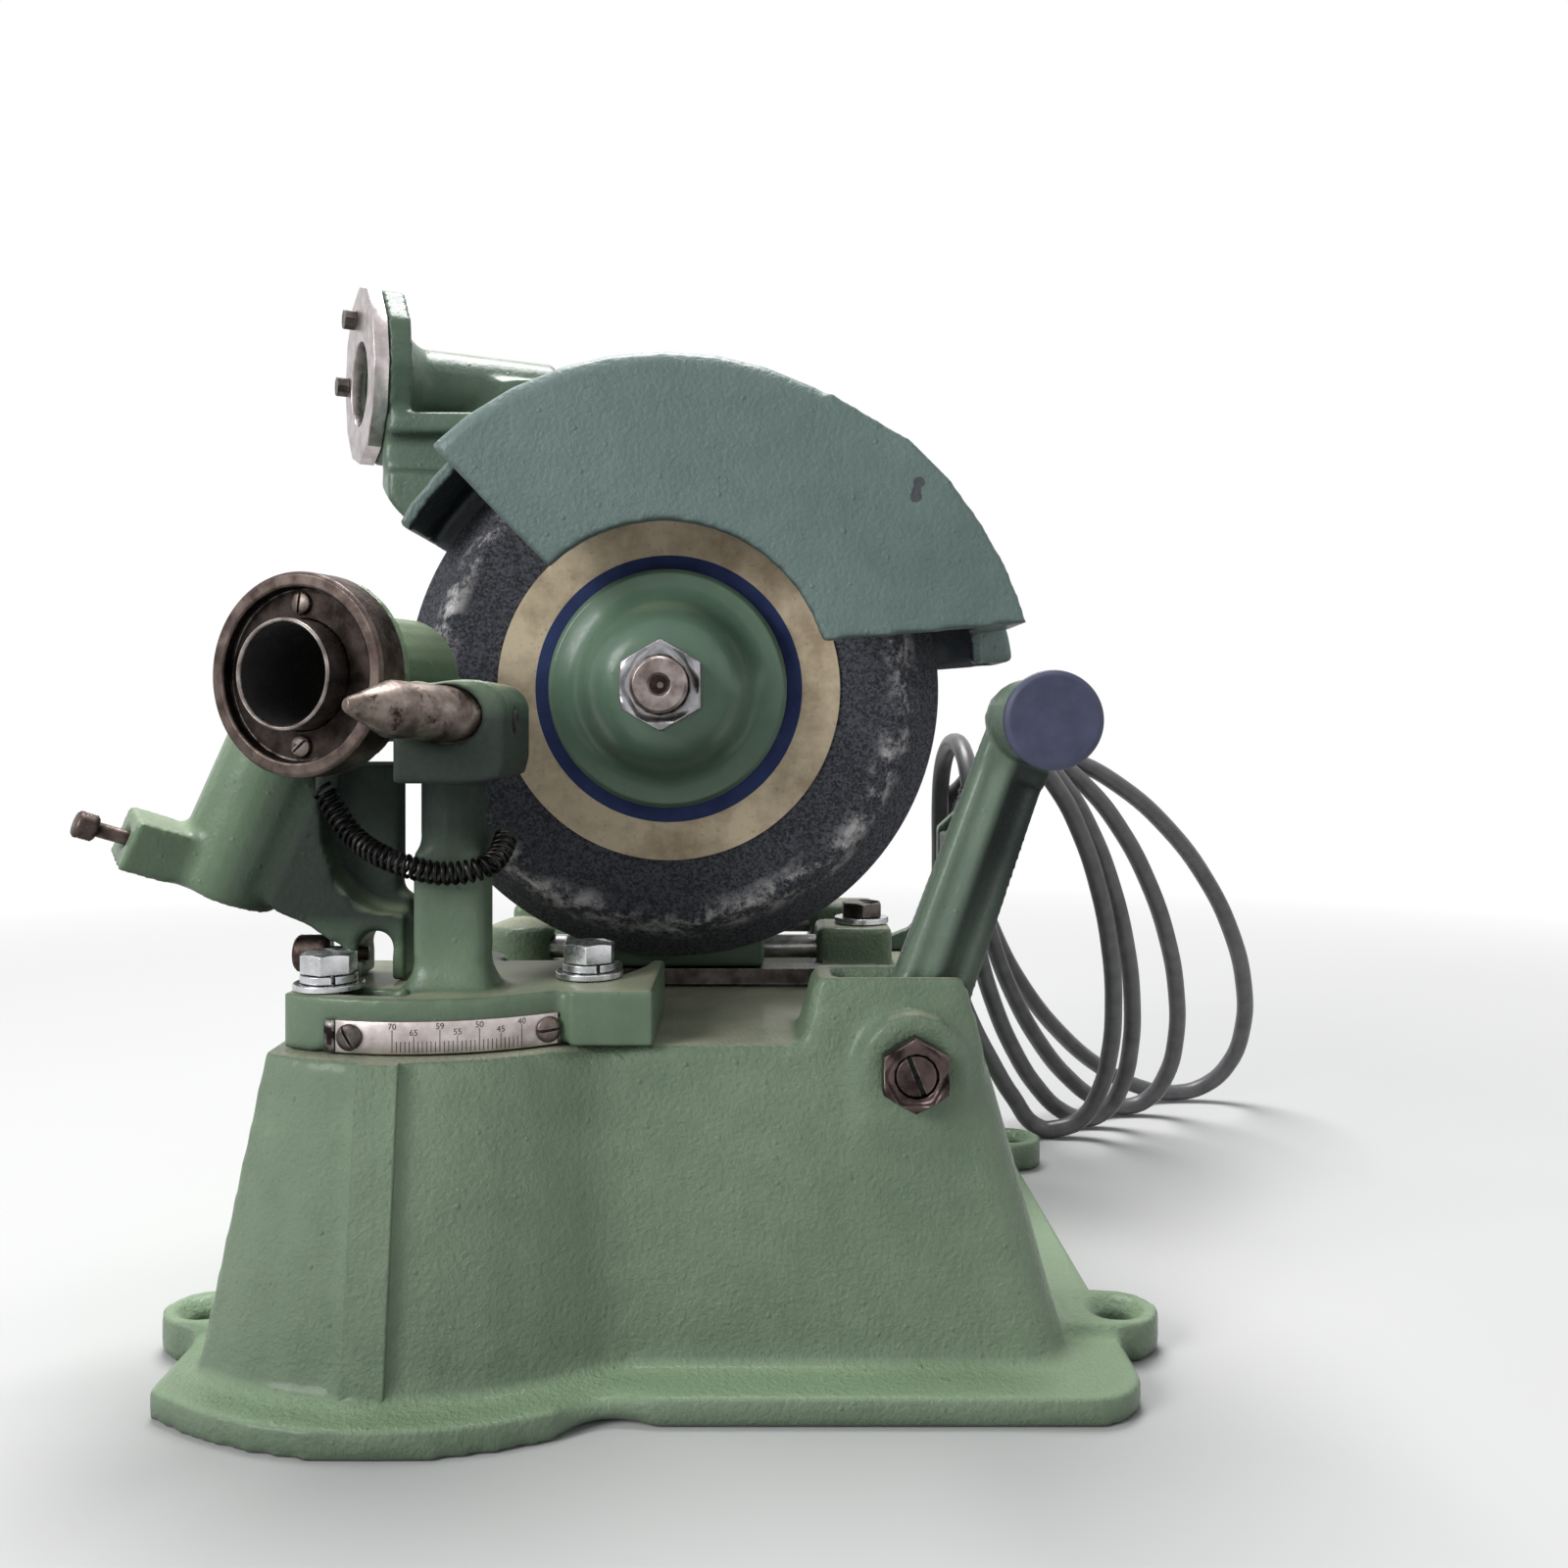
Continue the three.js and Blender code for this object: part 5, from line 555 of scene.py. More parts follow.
def block(x0, x1, y0, y1, z0, z1):
    body = bmesh.new()
    bmesh.ops.create_cube(body, size=1)
    bmesh.ops.scale(body, verts=body.verts, vec=((x1 - x0) * MM, (y1 - y0) * MM, (z1 - z0) * MM))
    bmesh.ops.translate(body, verts=body.verts,
                        vec=((x0 + x1) * MM / 2, (y0 + y1) * MM / 2, (z0 + z1) * MM / 2))
    return body


def node_copy(node):
    body = bmesh.new()
    body.from_mesh(frame["nodes"][node].data)
    bmesh.ops.remove_doubles(body, verts=body.verts, dist=SAME_PLACE)
    bmesh.ops.dissolve_limit(body, angle_limit=FLAT_ANGLE, verts=body.verts, edges=body.edges)
    return body


def dressed(node, material, width, segments=3):
    piece = new_object(node + "_finished", node_copy(node), material)
    return stand_in(soften(piece, width, segments), node)


def new_wire(name, radius, resolution):
    curve = bpy.data.curves.new(name, "CURVE")
    curve.dimensions = "3D"
    curve.bevel_depth = radius * MM
    curve.bevel_resolution = resolution
    curve.use_fill_caps = True
    return curve


def curve_body(curve):
    holder = bpy.data.objects.new(curve.name, curve)
    bpy.context.scene.collection.objects.link(holder)
    state = bpy.context.evaluated_depsgraph_get()
    surface = bpy.data.meshes.new_from_object(holder.evaluated_get(state))
    bpy.data.objects.remove(holder)
    body = bmesh.new()
    body.from_mesh(surface)
    bpy.data.meshes.remove(surface)
    return body


# The cord, along the same route as its solids: an arch from the gland, hanging loops, and a tail to the plug

ARCH_FOOT = Vector((128, 189.5, 170))
ARCH_REACH = Vector((-5, 67, 0))
ARCH_RISE = 30
ARCH_STEPS = 6
DROP = (
    (123, 256.5, 148), (123, 255, 128), (124.5, 252, 106), (129, 249.5, 84), (137, 250, 63), (148, 253.5, 42),
    (159.5, 260, 23))
LOOP_TURNS = 3.625
LOOP_STEPS = 20
FIRST_TOP = Vector((148, 211, 191.1 + CORD_RADIUS))
TOP_STEP = Vector((4.5, 11, 0))
FIRST_FOOT = Vector((184, 268, 0.3 + CORD_RADIUS))
FOOT_STEP = Vector((13.8, 14.2, 0))
FOOT_SPREAD = Vector((4.2, 2.8, 0))
TAIL = (
    (127.5, 298, 110), (122, 314, 75), (114, 327, 45), (103, 336, 24), (88, 341, 14),
    (52.3 + 2 * CORD_RADIUS, 342, 12.3), (52.3, 342, 12.3))


def loop_place(turns):
    angle = math.pi - 2 * math.pi * turns
    top = FIRST_TOP + turns * TOP_STEP
    foot = FIRST_FOOT + turns * FOOT_STEP + turns ** 2 * FOOT_SPREAD
    half_width = 37 - 8 * turns + 4.9 * turns ** 2
    middle = (top + foot) / 2 + (top - foot) * math.cos(angle) / 2
    return middle + Vector((half_width * math.sin(angle), 0, 0))


def cord_route():
    places = [CORD_GLAND, CORD_GLAND + CORD_RADIUS * UP]
    for step in range(1, ARCH_STEPS + 1):
        angle = math.pi * step / ARCH_STEPS
        across = (1 - math.cos(angle)) / 2
        places.append(ARCH_FOOT + ARCH_REACH * across + ARCH_RISE * math.sin(angle) * UP)
    places += [Vector(place) for place in DROP]
    loops = [loop_place(step / LOOP_STEPS) for step in range(round(LOOP_TURNS * LOOP_STEPS) + 1)]
    start_way = loops[0] - loops[1]
    start_way.z = 0
    start_way.normalize()
    end_way = (loops[-1] - loops[-2]).normalized()
    places += [loops[0] + start_way * 2 * CORD_RADIUS, *loops, loops[-1] + end_way * 2 * CORD_RADIUS]
    return places + [Vector(place) for place in TAIL]


def add_cord():
    places = cord_route()
    line = new_wire("power_lead", CORD_RADIUS, 5)
    line.resolution_u = 6
    spline = line.splines.new("BEZIER")
    spline.bezier_points.add(len(places) - 1)
    for point, place in zip(spline.bezier_points, places):
        point.co = place * MM
        point.handle_left_type = "AUTO"
        point.handle_right_type = "AUTO"
    line.materials.append(CORD_RUBBER)
    lead = bpy.data.objects.new("power_lead", line)
    bpy.context.scene.collection.objects.link(lead)
    return lead


bpy.context.scene.view_settings.view_transform = "Standard"
set_camera()
set_world()
set_lights()
add_floor(floor_paint())

lead = stand_in(add_cord(), "power_cord", "cord_coil", "cord_tail")


# Wheel and spindle

HUB = WHEEL_AXIS_HEIGHT * UP
add_turned("wheel_disc", [
    (9.8, 77.5), (85, 77.5), (101.6, 99.5), (101.6, 103.5), (9.8, 103.5), (9.8, 77.5)],
    160, HUB, BACK, ABRASIVE, "grinding_wheel", 1.5)
add_turned("wheel_label", ring_profile(9.8, 62.6, 76.4, 77.2), 160, HUB, BACK, PAPER, "wheel_blotter", 0.15)
add_turned("clamp_flange", [
    (9.8, 44.3), (16.5, 44.3), (21, 46.2), (25, 49.6), (28, 54), (29.6, 59), (31, 62.6), (33.5, 65.2),
    (37, 66.8), (41.6, 67.6), (43, 69.4), (43, 76.1), (9.8, 76.1), (9.8, 44.3)],
    128, HUB, BACK, FLANGE_PAINT, "outer_flange", 0.6)
add_turned("spindle_shaft", [
    (0, 32.5), (1.2, 32.2), (3, 29.5), (3, 25.6), (4, 24.5), (8.5, 24.5), (9.5, 25.5), (9.5, 110.9),
    (12.5, 110.9), (12.5, 273.5), (0, 273.5)], 64, HUB, BACK, ARBOR_STEEL, "arbor", 0.25)
dressed("arbor_nut", WORN_STEEL, 0.6)


# Chuck and lever cap. The faces within reach of the chuck's axis and nearer than depth take a darker finish:
# painted shade in the ring's recess and down the sleeve's bore

def paint_inside(piece, material, reach, depth):
    piece.data.materials.append(material)
    for face in piece.data.polygons:
        middle = Vector(face.center) / MM - CHUCK_FRONT
        along = middle.dot(CHUCK_WAY)
        face.material_index = int((middle - CHUCK_WAY * along).length < reach and along < depth)


ring = add_turned("drill_chuck_ring", [
    (17.3, 4), (26.2, 4), (26.7, 3.4), (26.7, 0.6), (27.3, 0), (30.6, 0), (31.5, 1), (31.5, 12), (17.3, 12),
    (17.3, 4)], 112, CHUCK_FRONT, CHUCK_WAY, BROWN_STEEL, "chuck_ring", 0.4)
paint_inside(ring, RECESS_SHADE_STEEL, 26.9, 5)
sleeve = add_turned("drill_chuck_sleeve", [
    (15.5, -4.8), (15.8, -5.6), (16.3, -6), (16.6, -5.8), (17, -5.3), (17, 59), (15.5, 59), (15.5, -4.8)],
    112, CHUCK_FRONT, CHUCK_WAY, SLEEVE_STEEL, "chuck_sleeve", 0.12)
paint_inside(sleeve, BORE_SHADE, 15.62, 60)

CAP_BACK = -9.05
LEVER_LENGTH = 118
add_turned("handle_cap", [
    (0, CAP_BACK - 3.2), (13.6, CAP_BACK - 3.0), (15.2, CAP_BACK - 1.9), (15.2, CAP_BACK), (4, CAP_BACK),
    (4, CAP_BACK + 14), (0, CAP_BACK + 14)],
    96, LEVER_PIVOT + LEVER_LENGTH * LEVER_ALONG, BACK, CAP_PLASTIC, "lever_cap", 0.5)


# Castings: each is recast in a fine even mesh, then smoothed, and most of all along its wide inner corners

SEAM_ANGLE = math.radians(18)
SEAM_SPACING = 1.5


def seams(body, chosen):
    found = []
    for edge in body.edges:
        if len(edge.link_faces) != 2 or edge.calc_face_angle(0) < SEAM_ANGLE:
            continue
        one, two = (vertex.co / MM for vertex in edge.verts)
        reach = chosen((one + two) / 2, (two - one).normalized(), edge.calc_face_angle_signed(0) < 0)
        if reach:
            count = max(round((two - one).length / SEAM_SPACING), 1)
            found += [(one.lerp(two, step / count), reach) for step in range(count + 1)]
    return found


def smooth(shape, verts):
    bmesh.ops.smooth_vert(shape, verts=verts, factor=0.5, use_axis_x=True, use_axis_y=True, use_axis_z=True)


def smooth_seams(shape, inner, grain):
    finder = KDTree(len(inner))
    for index, (place, reach) in enumerate(inner):
        finder.insert(place, index)
    finder.balance()
    near = []
    for vertex in shape.verts:
        place, index, distance = finder.find(vertex.co / MM)
        reach = inner[index][1]
        if distance < reach:
            near.append((vertex, 0.8 * (reach / grain) ** 2 * (1 - (distance / reach) ** 2)))
    for step in range(round(max(count for vertex, count in near))):
        smooth(shape, [vertex for vertex, count in near if count > step])


def recast(node, material, grain, rounds, chosen=None, shaped=None):
    body = node_copy(node)
    inner = seams(body, chosen) if chosen else []
    piece = new_object(node + "_finished", body, material)
    remesh = piece.modifiers.new("recasting", "REMESH")
    remesh.mode = "VOXEL"
    remesh.voxel_size = grain * MM
    bake(piece)
    shape = bmesh.new()
    shape.from_mesh(piece.data)
    if shaped:
        for vertex in shape.verts:
            vertex.co = shaped(vertex.co / MM) * MM
    for step in range(rounds):
        smooth(shape, shape.verts)
    if inner:
        smooth_seams(shape, inner, grain)
    shape.to_mesh(piece.data)
    shape.free()
    piece.data.shade_smooth()
    return stand_in(piece, node)


# How far the smoothing reaches from a hollow corner at place that runs along way

FLANGE_TOP = 9
FLANGE_REACH = 8
LUG_REACH = 3.5
BULGE_REACH = 15
LEVER_BLOCK_REACH = 6
HOLLOW_REACH = 5


def base_seams(place, way, hollow):
    if not hollow:
        return 0
    if abs(place.z - FLANGE_TOP) < 1 and abs(way.z) < 0.3:
        at_lug = abs(place.x) > 138
        return LUG_REACH if at_lug else FLANGE_REACH
    if abs(way.z) > 0.6 and -60 < place.x < 30 and place.y < 60 and place.z < 106:
        return BULGE_REACH
    if place.x > 55 and place.y < 20 and 30 < place.z < 120:
        return LEVER_BLOCK_REACH
    return 0


def hollows(place, way, hollow):
    return HOLLOW_REACH if hollow else 0


# Forms pressed into a casting's even mesh: each takes a place and gives the place it moves to

FACE_START = 22
FACE_END = 103
FACE_REAR = 29
SHALLOW_FLUTE = {"middle": -6.2, "half_width": 4.2, "depth": 1.1}
DEEP_FLUTE = {"middle": 4.5, "half_width": 4.5, "depth": 2.2}
CORNER_START = 7.5
CORNER_DEPTH = 4
TIP_ANGLE = 61
TIP_FRONT = 80.3
TIP_BACK = 138
TIP_FLARE = 0.0018
POST_HEAD = Vector((-56, 0, 206))
POST_HEAD_RADIUS = 15.5
POST_HEAD_ROUNDING = 0.45


def off_middle(across, flute):
    return abs(across - flute["middle"]) / flute["half_width"]


def lever_face(place):
    across = (place - LEVER_PIVOT).dot(LEVER_ACROSS)
    along = (place - LEVER_PIVOT).dot(LEVER_ALONG)
    if place.y > FACE_REAR or not FACE_START <= along <= FACE_END:
        return place
    fade = min((along - FACE_START) / 4, (FACE_END - along) / 6, 1)
    depth = SHALLOW_FLUTE["depth"] * math.cos(min(off_middle(across, SHALLOW_FLUTE), 1) * math.pi / 2) ** 2
    depth += DEEP_FLUTE["depth"] * max(1 - off_middle(across, DEEP_FLUTE) ** 2, 0)
    depth += min(0.13 * max(abs(across) - CORNER_START, 0) ** 2, CORNER_DEPTH)
    return place + depth * fade * BACK


def guard_tip(place):
    rise = place.z - WHEEL_AXIS_HEIGHT
    radius = math.hypot(place.x, rise)
    angle = math.degrees(math.atan2(rise, place.x))
    if place.y < TIP_FRONT or not 104 <= radius <= 117 or not 0 < angle < TIP_ANGLE:
        return place
    fade = min(max((TIP_BACK - place.y) / 16, 0), 1)
    flare = 1 + TIP_FLARE * (TIP_ANGLE - angle) * fade
    return Vector((place.x * flare, place.y, WHEEL_AXIS_HEIGHT + rise * flare))


def post_head(place):
    if place.z < 188 or place.x < -70 or not -16 < place.y < 30:
        return place
    away = Vector((place.x, 0, place.z)) - POST_HEAD
    over = max(away.length - POST_HEAD_RADIUS, 0) if away.z > 0 or away.x > 0 else 0
    return place - away.normalized() * over * POST_HEAD_ROUNDING


# Painted shade: the guard's inward rim faces, its inner walls and the underside of its tip take the
# near-black paint
def darken_guard(piece):
    piece.data.materials.append(GUARD_SHADE_PAINT)
    for face in piece.data.polygons:
        x, y, z = face.center / MM
        z -= WHEEL_AXIS_HEIGHT
        radius = math.hypot(x, z)
        inward = -(face.normal.x * x + face.normal.z * z) / radius
        rim = inward > 0.35 and radius > 90
        front_wall = face.normal.y > 0.5 and y < 60
        back_wall = face.normal.y < -0.5 and y > 100
        tip_below = face.normal.z < -0.5 and y > 82 and x > 60
        face.material_index = int(rim or front_wall or back_wall or tip_below)


recast("base_casting", PAINT, grain=2.1, rounds=2, chosen=base_seams)
recast("swivel_table", TABLE_PAINT, grain=1.2, rounds=2, chosen=hollows, shaped=post_head)
recast("swing_bracket", HEAD_PAINT, grain=1.1, rounds=2, chosen=hollows)
recast("swing_head", HEAD_PAINT, grain=1.1, rounds=2, chosen=hollows)
recast("lever_arm", LEVER_PAINT, grain=1.0, rounds=1, shaped=lever_face)
recast("wheel_head_casting", SHADE_PAINT, grain=1.9, rounds=2, chosen=hollows)
darken_guard(recast("wheel_guard", GUARD_PAINT, grain=1.5, rounds=2, shaped=guard_tip))
recast("thinning_bracket", SHADE_PAINT, grain=1.2, rounds=3, chosen=hollows)
recast("switch_bracket", SHADE_PAINT, grain=1.2, rounds=2)


# The rib stands over the solid's own, with the sharp edges that the even mesh rounds off

BULGE_RADIUS = 105.3
BULGE_TAPER = 17 / 96
RIB_SIDES = (-89.6, -76)
RIB_DEPTH = 9
RIB_FOOT = 5
RIB_TOP = 104.9
BELL_REAR = 286
BELL_SCREW_CIRCLE = 46


def add_rib():
    body = block(*RIB_SIDES, -RIB_DEPTH, 0, RIB_FOOT, RIB_TOP)
    for vertex in body.verts:
        radius = BULGE_RADIUS - BULGE_TAPER * (vertex.co.z / MM - FLANGE_TOP)
        face = SWIVEL[1] - math.sqrt(radius ** 2 - (vertex.co.x / MM - SWIVEL[0]) ** 2)
        vertex.co.y += (face + RIB_DEPTH) * MM
    fit(soften(new_object("bulge_rib", body, PAINT), 0.7), *owner("base_casting"))


def add_bell_screws():
    for step in range(4):
        angle = math.radians(45 + 90 * step)
        place = HUB + BELL_REAR * BACK + BELL_SCREW_CIRCLE * Vector((math.cos(angle), 0, math.sin(angle)))
        head = turned([(0, -1), (5, -1), (5, 0.4), (4.4, 1.4), (3, 2), (0, 2.2)], 32)
        piece = new_object("bell_screw_%d" % (step + 1), aim(head, place, BACK), OILED_STEEL)
        fit(soften(piece, 0.2, 2), *owner("motor_rear_bell"))


add_rib()
add_bell_screws()
dressed("motor_shell", SHADE_PAINT, 0.8)
dressed("motor_rear_bell", SHADE_PAINT, 1.5)
dressed("clamp_bolt_left", ZINC, 0.35, 2)
dressed("clamp_bolt_right", ZINC, 0.35, 2)
dressed("rod_clamp_bolt", OILED_STEEL, 0.35, 2)
dressed("lever_jam_nut", NUT_STEEL, 0.5)
dressed("scale_plate", SCALE_STEEL, 0.2, 2)
dressed("thinning_face_plate", PLATE_STEEL, 0.5)
dressed("switch_box", BLACK_PLASTIC, 1.6)
dressed("plug", BLACK_PLASTIC, 0.8)


# Washers, rods and pins

CLAMPS = {"left": (-105.385, 16.532), "right": (-24.162, 37.085)}
WASHER_FOOT = 123.3
SPLIT_FOOT = 125.6
SPLIT_TURN = -1.1
for side, (x, y) in CLAMPS.items():
    add_turned("flat_washer_" + side, ring_profile(4.8, 11.2, 0, 2), 64, (x, y, WASHER_FOOT), UP, ZINC,
               "clamp_washer_" + side, 0.35, 2)
    place = (x, y, SPLIT_FOOT)
    split = new_object("split_washer_" + side, aim(turned(ring_profile(4.8, 9, 0, 2.4), 64), place, UP), ZINC)
    gap = block(0, 12, -0.5, 0.5, -1, 4)
    bmesh.ops.rotate(gap, verts=gap.verts, matrix=Matrix.Rotation(SPLIT_TURN, 3, "Z"))
    bmesh.ops.translate(gap, verts=gap.verts, vec=Vector(place) * MM)
    carve(split, gap)
    stand_in(soften(split, 0.25, 2), "clamp_spring_washer_" + side)
add_turned("rod_washer", ring_profile(4.3, 11.5, 0, 2.5), 64, (77, 165, WASHER_FOOT), UP, ZINC,
           "rod_clamp_washer", 0.4, 2)
for end, y in {"front": 165, "rear": 240}.items():
    add_turned("guide_bar_" + end, [(0, 0), (4.2, 0), (5, 0.8), (5, 131.2), (4.2, 132), (0, 132)], 64,
               (-66, y, 113), RIGHT, GROUND_STEEL, "guide_rod_" + end, 0.25, 2)


def add_follower():
    profile = [(0, 0), (1.7, 0), (2.3, 0.7), (8.3, 13.6), (8.5, 14.6), (8.5, 47.6), (8, 48), (0, 48)]
    body = aim(turned(profile, 96), (-84.2, -37, 213.3), (0.66758, 0.74142, -0.06802))
    pin = soften(new_object("drill_follower", body, PIN_STEEL), 0.3, 2)
    fit(pin, "swivel", "bright_steel", "follower_pin")


def add_set_screw():
    profile = [(0, 1.4), (1.7, 1.4), (1.7, 0), (3.1, 0), (3.4, 0.3), (3.4, 2.4), (0, 2.4), (0, 1.4)]
    body = aim(turned(profile, 32), (-42.35, 3, 209), -RIGHT)
    # The set screw's socket is shown as a near-black disc: painted shade
    fit(new_object("post_set_screw", body, BORE_SHADE), "swivel", "dark_steel")


add_follower()
add_set_screw()


# Slotted screws: a slot is its width, depth and half length

def slotted(piece, place, way, tilt, slot):
    width, depth, reach = slot
    tool = block(-width / 2, width / 2, -reach, depth, -reach, reach)
    bmesh.ops.rotate(tool, verts=tool.verts, matrix=Matrix.Rotation(math.radians(tilt), 3, "Y"))
    carve(piece, aim(tool, place, way))
    # Painted shade: the slot's floor takes the near-black bore finish
    piece.data.materials.append(BORE_SHADE)
    for face in piece.data.polygons:
        inward = (Vector(face.center) / MM - place).dot(way)
        face.material_index = int(abs(inward - depth) < 0.02 and abs(face.normal.dot(way)) > 0.9)


def screw(name, profile, place, way, tilt, slot, material, node, steps=48):
    head = new_object(name, aim(turned(profile, steps), place, way), material)
    slotted(head, place, way, tilt, slot)
    stand_in(soften(head, 0.12, 2), node)


def on_scale(radius, angle, height):
    turn = math.radians(angle)
    return Vector((SWIVEL[0] + radius * math.sin(turn), SWIVEL[1] - radius * math.cos(turn), height))


PIVOT_FRONT = 3.07
screw("pivot_screw", [(0, 0), (6.15, 0), (6.75, 0.6), (6.75, 18), (5, 18), (5, 47), (0, 47)],
      LEVER_PIVOT + PIVOT_FRONT * BACK, BACK, -22, (1.6, 2.2, 9), NUT_STEEL, "lever_pivot_screw", 64)
for side, rise, tilt in (("top", 22, 8), ("bottom", -22, 50)):
    screw("rim_screw_" + side,
          [(0, 2.1), (2.4, 2.15), (3.3, 2.7), (3.5, 3.3), (3.5, 3.7), (1.8, 3.7), (1.8, 18.7), (0, 18.7)],
          CHUCK_FRONT + rise * UP, CHUCK_WAY, tilt, (0.8, 3.0, 5), PIN_STEEL, "ring_screw_" + side)
for side, angle, tilt, finish in (("left", -12.3, -32, OILED_STEEL), ("right", 33.7, 88, PIN_STEEL)):
    way = (on_scale(0, 0, 0) - on_scale(1, angle, 0)).normalized()
    screw("plate_screw_" + side,
          [(0, 0), (2.2, 0.1), (3.7, 0.6), (4.2, 1.2), (4.2, 1.8), (1.4, 1.8), (1.4, 7.6), (0, 7.6)],
          on_scale(80.1, angle, SCALE_HEIGHT), way, tilt, (0.9, 1.1, 5), finish, "scale_screw_" + side)


# Thumbscrews: from low to high along the axis, every other crossing of the rim's grid is pressed in

KNURL_DEPTH = 0.55
KNURL_STEPS = 40
RIM_RADIUS = 4


def knurled(name, profile, low, high, place, way, node):
    shape = turned(profile, KNURL_STEPS)
    rows = sorted({along for radius, along in profile if radius > RIM_RADIUS})
    for vertex in shape.verts:
        along = vertex.co.y / MM
        reach = math.hypot(vertex.co.x, vertex.co.z) / MM
        row = next((index for index, height in enumerate(rows) if abs(height - along) < 0.01), 0)
        step = round(math.atan2(vertex.co.z, vertex.co.x) / (2 * math.pi) * KNURL_STEPS) + row
        if low < along < high and reach > RIM_RADIUS and step % 2:
            vertex.co.x *= 1 - KNURL_DEPTH / reach
            vertex.co.z *= 1 - KNURL_DEPTH / reach
    stand_in(new_object(name, aim(shape, place, way), BROWN_STEEL), node)


knurled("lock_knob", [
    (0, 21), (2.4, 21), (2.4, 44.4), (2, 44.6), (2, 45), (3.6, 45), *((4.4, 45.8 + row) for row in range(5)),
    (4.4, 50.7), (3.6, 51.5), (0, 51.5)],
    45.5, 51, (-145.52, 40, 159.30), (-0.74716, -0.57358, 0.33579), "lock_thumbscrew")
knurled("stop_knob", [
    (0, 0), (5.2, 0), *((6.2, 1 + 1.5 * row) for row in range(7)), (5.2, 11), (2.4, 11), (2.4, 24), (0, 24)],
    0.5, 10.5, (-121.5, 34, 131.5), RIGHT, "stop_thumbscrew")


# Scale marks, bent on the plate's arc; the numbers run from 70 at the left down to 40

FIRST_NUMBER = 70
MARK_UNITS = 30
MARK_START = -2.2
MARK_UNIT = 29.4 / MARK_UNITS
MARK_HEIGHT = 0.05
MARK_HALF_WIDTH = 0.11
MARK_FOOT = 0.6
LONG_MARK = 6.9
MIDDLE_MARK = 5.0
SHORT_MARK = 3.3
MARK_LENGTHS = {70: LONG_MARK, 59: LONG_MARK, 50: LONG_MARK, 40: LONG_MARK,
                65: MIDDLE_MARK, 55: MIDDLE_MARK, 45: MIDDLE_MARK}
NUMBER_SIZE = 2.7
NUMBER_GAP = 0.8
SCALE_RADIUS = 78
SCALE_FOOT = 105.8
SCALE_GAP = 0.02
RECESS_GAP = 0.06


def bend_on_scale(body, middle_angle):
    for vertex in body.verts:
        across, up, out = vertex.co / MM
        angle = middle_angle + math.degrees(across / SCALE_RADIUS)
        vertex.co = on_scale(SCALE_RADIUS + SCALE_GAP + out, angle, SCALE_FOOT + up) * MM
    bmesh.ops.recalc_face_normals(body, faces=body.faces)
    return body


def add_marks():
    marks = bmesh.new()
    for unit in range(MARK_UNITS + 1):
        top = MARK_FOOT + MARK_LENGTHS.get(FIRST_NUMBER - unit, SHORT_MARK)
        line = block(-MARK_HALF_WIDTH, MARK_HALF_WIDTH, MARK_FOOT, top, 0, MARK_HEIGHT)
        held = bpy.data.meshes.new("mark")
        bend_on_scale(line, MARK_START + unit * MARK_UNIT).to_mesh(held)
        line.free()
        marks.from_mesh(held)
        bpy.data.meshes.remove(held)
    fit(new_object("scale_marks", marks, SCALE_INK), "swivel", "black_plastic")


def add_number(value):
    words = bpy.data.curves.new("number", "FONT")
    words.body = str(value)
    words.size = NUMBER_SIZE * MM
    words.align_x = "CENTER"
    words.extrude = MARK_HEIGHT * MM / 2
    body = curve_body(words)
    up = MARK_LENGTHS[value] + NUMBER_GAP
    bmesh.ops.translate(body, verts=body.verts, vec=(0, up * MM, MARK_HEIGHT * MM / 2))
    bend_on_scale(body, MARK_START + (FIRST_NUMBER - value) * MARK_UNIT)
    fit(new_object("scale_number_%d" % value, body, SCALE_INK), "swivel", "black_plastic")


# A recess end is a thin strip of bare steel darkened with painted shade
def add_recess_end(name, start, end):
    body = block(0, 1, 0, 1, 0, 0.15)
    bmesh.ops.subdivide_edges(body, edges=body.edges, cuts=3, use_grid_fill=True)
    for vertex in body.verts:
        across, up, out = vertex.co / MM
        angle = start + across * (end - start)
        vertex.co = on_scale(SCALE_RADIUS + RECESS_GAP + out, angle, SCALE_FOOT - 0.2 + up * 10.2) * MM
    bmesh.ops.recalc_face_normals(body, faces=body.faces)
    fit(new_object(name, body, RECESS_SHADE_STEEL), "swivel", "brown_steel")


add_marks()
for value in MARK_LENGTHS:
    add_number(value)
add_recess_end("recess_end_left", -18.9, -16.1)
add_recess_end("recess_end_right", 36.35, 37.05)


# Return spring, one coiled wire along the same sagging route as its solid

ROUTE_STEPS = 60
COIL_RADIUS = 3.2
COIL_TURNS = 34
COIL_STEPS = 12
WIRE_RADIUS = 0.72
SPRING_LOW = 161.1
POST_X = -66


def smooth_route(places):
    points = [places[0] * 2 - places[1]] + places + [places[-1] * 2 - places[-2]]
    route = []
    for a, b, c, d in zip(points, points[1:], points[2:], points[3:]):
        gaps = [(q - p).length ** 0.5 for p, q in ((a, b), (b, c), (c, d))]
        first = ((b - a) / gaps[0] - (c - a) / (gaps[0] + gaps[1]) + (c - b) / gaps[1]) * gaps[1]
        last = ((c - b) / gaps[1] - (d - b) / (gaps[1] + gaps[2]) + (d - c) / gaps[2]) * gaps[1]
        for step in range(ROUTE_STEPS):
            t = step / ROUTE_STEPS
            route.append(b + first * t + (3 * (c - b) - 2 * first - last) * t ** 2
                         + (2 * (b - c) + first + last) * t ** 3)
    return route + [places[-1]]


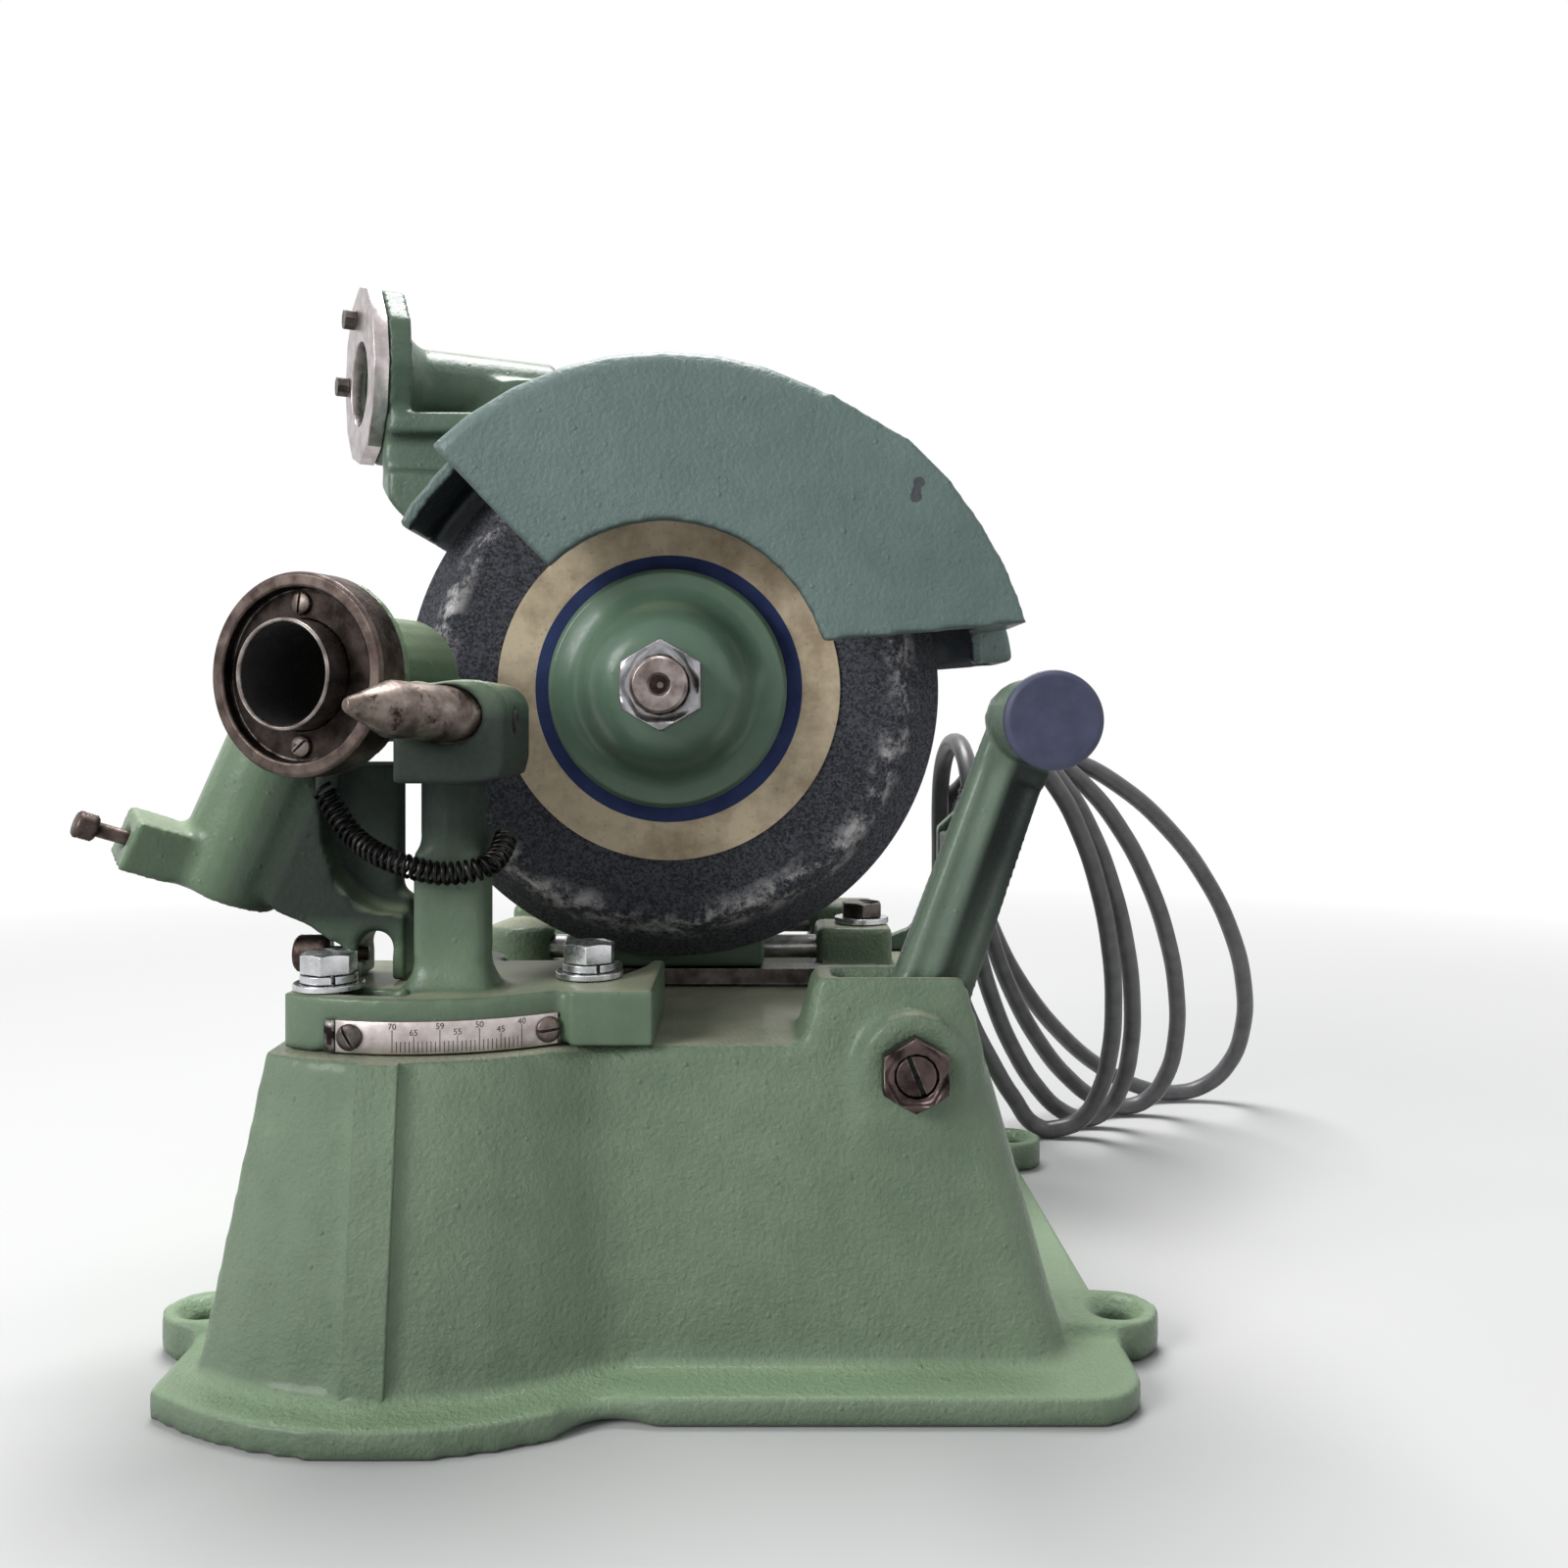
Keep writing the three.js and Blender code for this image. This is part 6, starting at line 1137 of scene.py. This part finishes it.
def spaced(route, steps):
    lengths = [0]
    for one, two in zip(route, route[1:]):
        lengths.append(lengths[-1] + (two - one).length)
    places, index = [], 0
    for step in range(steps + 1):
        wanted = lengths[-1] * step / steps
        while index < len(route) - 2 and lengths[index + 1] < wanted:
            index += 1
        share = (wanted - lengths[index]) / (lengths[index + 1] - lengths[index])
        places.append(route[index].lerp(route[index + 1], share))
    return places


def coiled(middle):
    side, places = UP, []
    for step, place in enumerate(middle):
        way = (middle[min(step + 1, len(middle) - 1)] - middle[max(step - 1, 0)]).normalized()
        side = (side - way * side.dot(way)).normalized()
        angle = 2 * math.pi * step / COIL_STEPS
        places.append(place + (side * math.cos(angle) + way.cross(side) * math.sin(angle)) * COIL_RADIUS)
    return places


def add_spring():
    tab = Vector((-108.4, 19.65, 187))
    route = smooth_route([
        tab, Vector((-98, 16.65, 172.44)), Vector((POST_X - 17.5, 8.65, SPRING_LOW + 4)),
        Vector((POST_X, 5.65, SPRING_LOW)), Vector((POST_X + 12.85, 7.15, SPRING_LOW + 2)),
        Vector((POST_X + 15.85, 13.15, SPRING_LOW + 5)), Vector((-49, 20.15, 171.5))])
    places = coiled(spaced(route, COIL_TURNS * COIL_STEPS))
    line = new_wire("spring_wire", WIRE_RADIUS, 2)
    spline = line.splines.new("POLY")
    spline.points.add(len(places) - 1)
    for point, place in zip(spline.points, places):
        point.co = (*(place * MM), 1)
    spline.use_smooth = True
    spring = new_object("coil_spring", curve_body(line), SPRING_STEEL)
    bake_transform(spring)
    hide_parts("return_spring")


add_spring()


# Strain relief on the lead, leaning with it

RIBS = 5
RIB_PITCH = 3
RIB_TAPER = 0.42
LEAN = 4.5
LEAN_START = 172.85
LEAN_LENGTH = 12.15


def add_strain_relief():
    rings = [(4.35, 0), (8, 0), (8, 4), (7.2, 5)]
    for rib in range(RIBS):
        height, radius = 5 + RIB_PITCH * rib, 7.2 - RIB_TAPER * rib
        rings += [(radius, height + 1.9), (radius - 0.7, height + 2.1), (radius - 0.7, height + 2.8),
                  (radius - 0.35, height + 3)]
    rings += [(4.35, 20), (4.35, 0)]
    body = aim(turned(rings, 40), (128, 189.5, 160.3), UP)
    for vertex in body.verts:
        above = max(vertex.co.z / MM - LEAN_START, 0)
        vertex.co.y += LEAN * (above / LEAN_LENGTH) ** 2 * MM
    stand_in(new_object("strain_relief", body, BLACK_PLASTIC), "cord_gland")


add_strain_relief()


# Solids shown as they are, in their own finish

BARE = {
    "swivel_stud": OILED_STEEL, "switch_toggle": ZINC, "lever_drive_pin": OILED_STEEL,
    "traverse_bar": OILED_STEEL, "motor_stator": COPPER, "motor_rotor": OILED_STEEL,
    "bearing_front": GROUND_STEEL, "bearing_rear": GROUND_STEEL, "guard_screw_left": OILED_STEEL,
    "guard_screw_right": OILED_STEEL, "face_pin_top": OILED_STEEL, "face_pin_side": OILED_STEEL,
    "inner_flange": OILED_STEEL}
for node, finish in BARE.items():
    shape = frame["nodes"][node].data
    shape.materials.clear()
    shape.materials.append(finish)
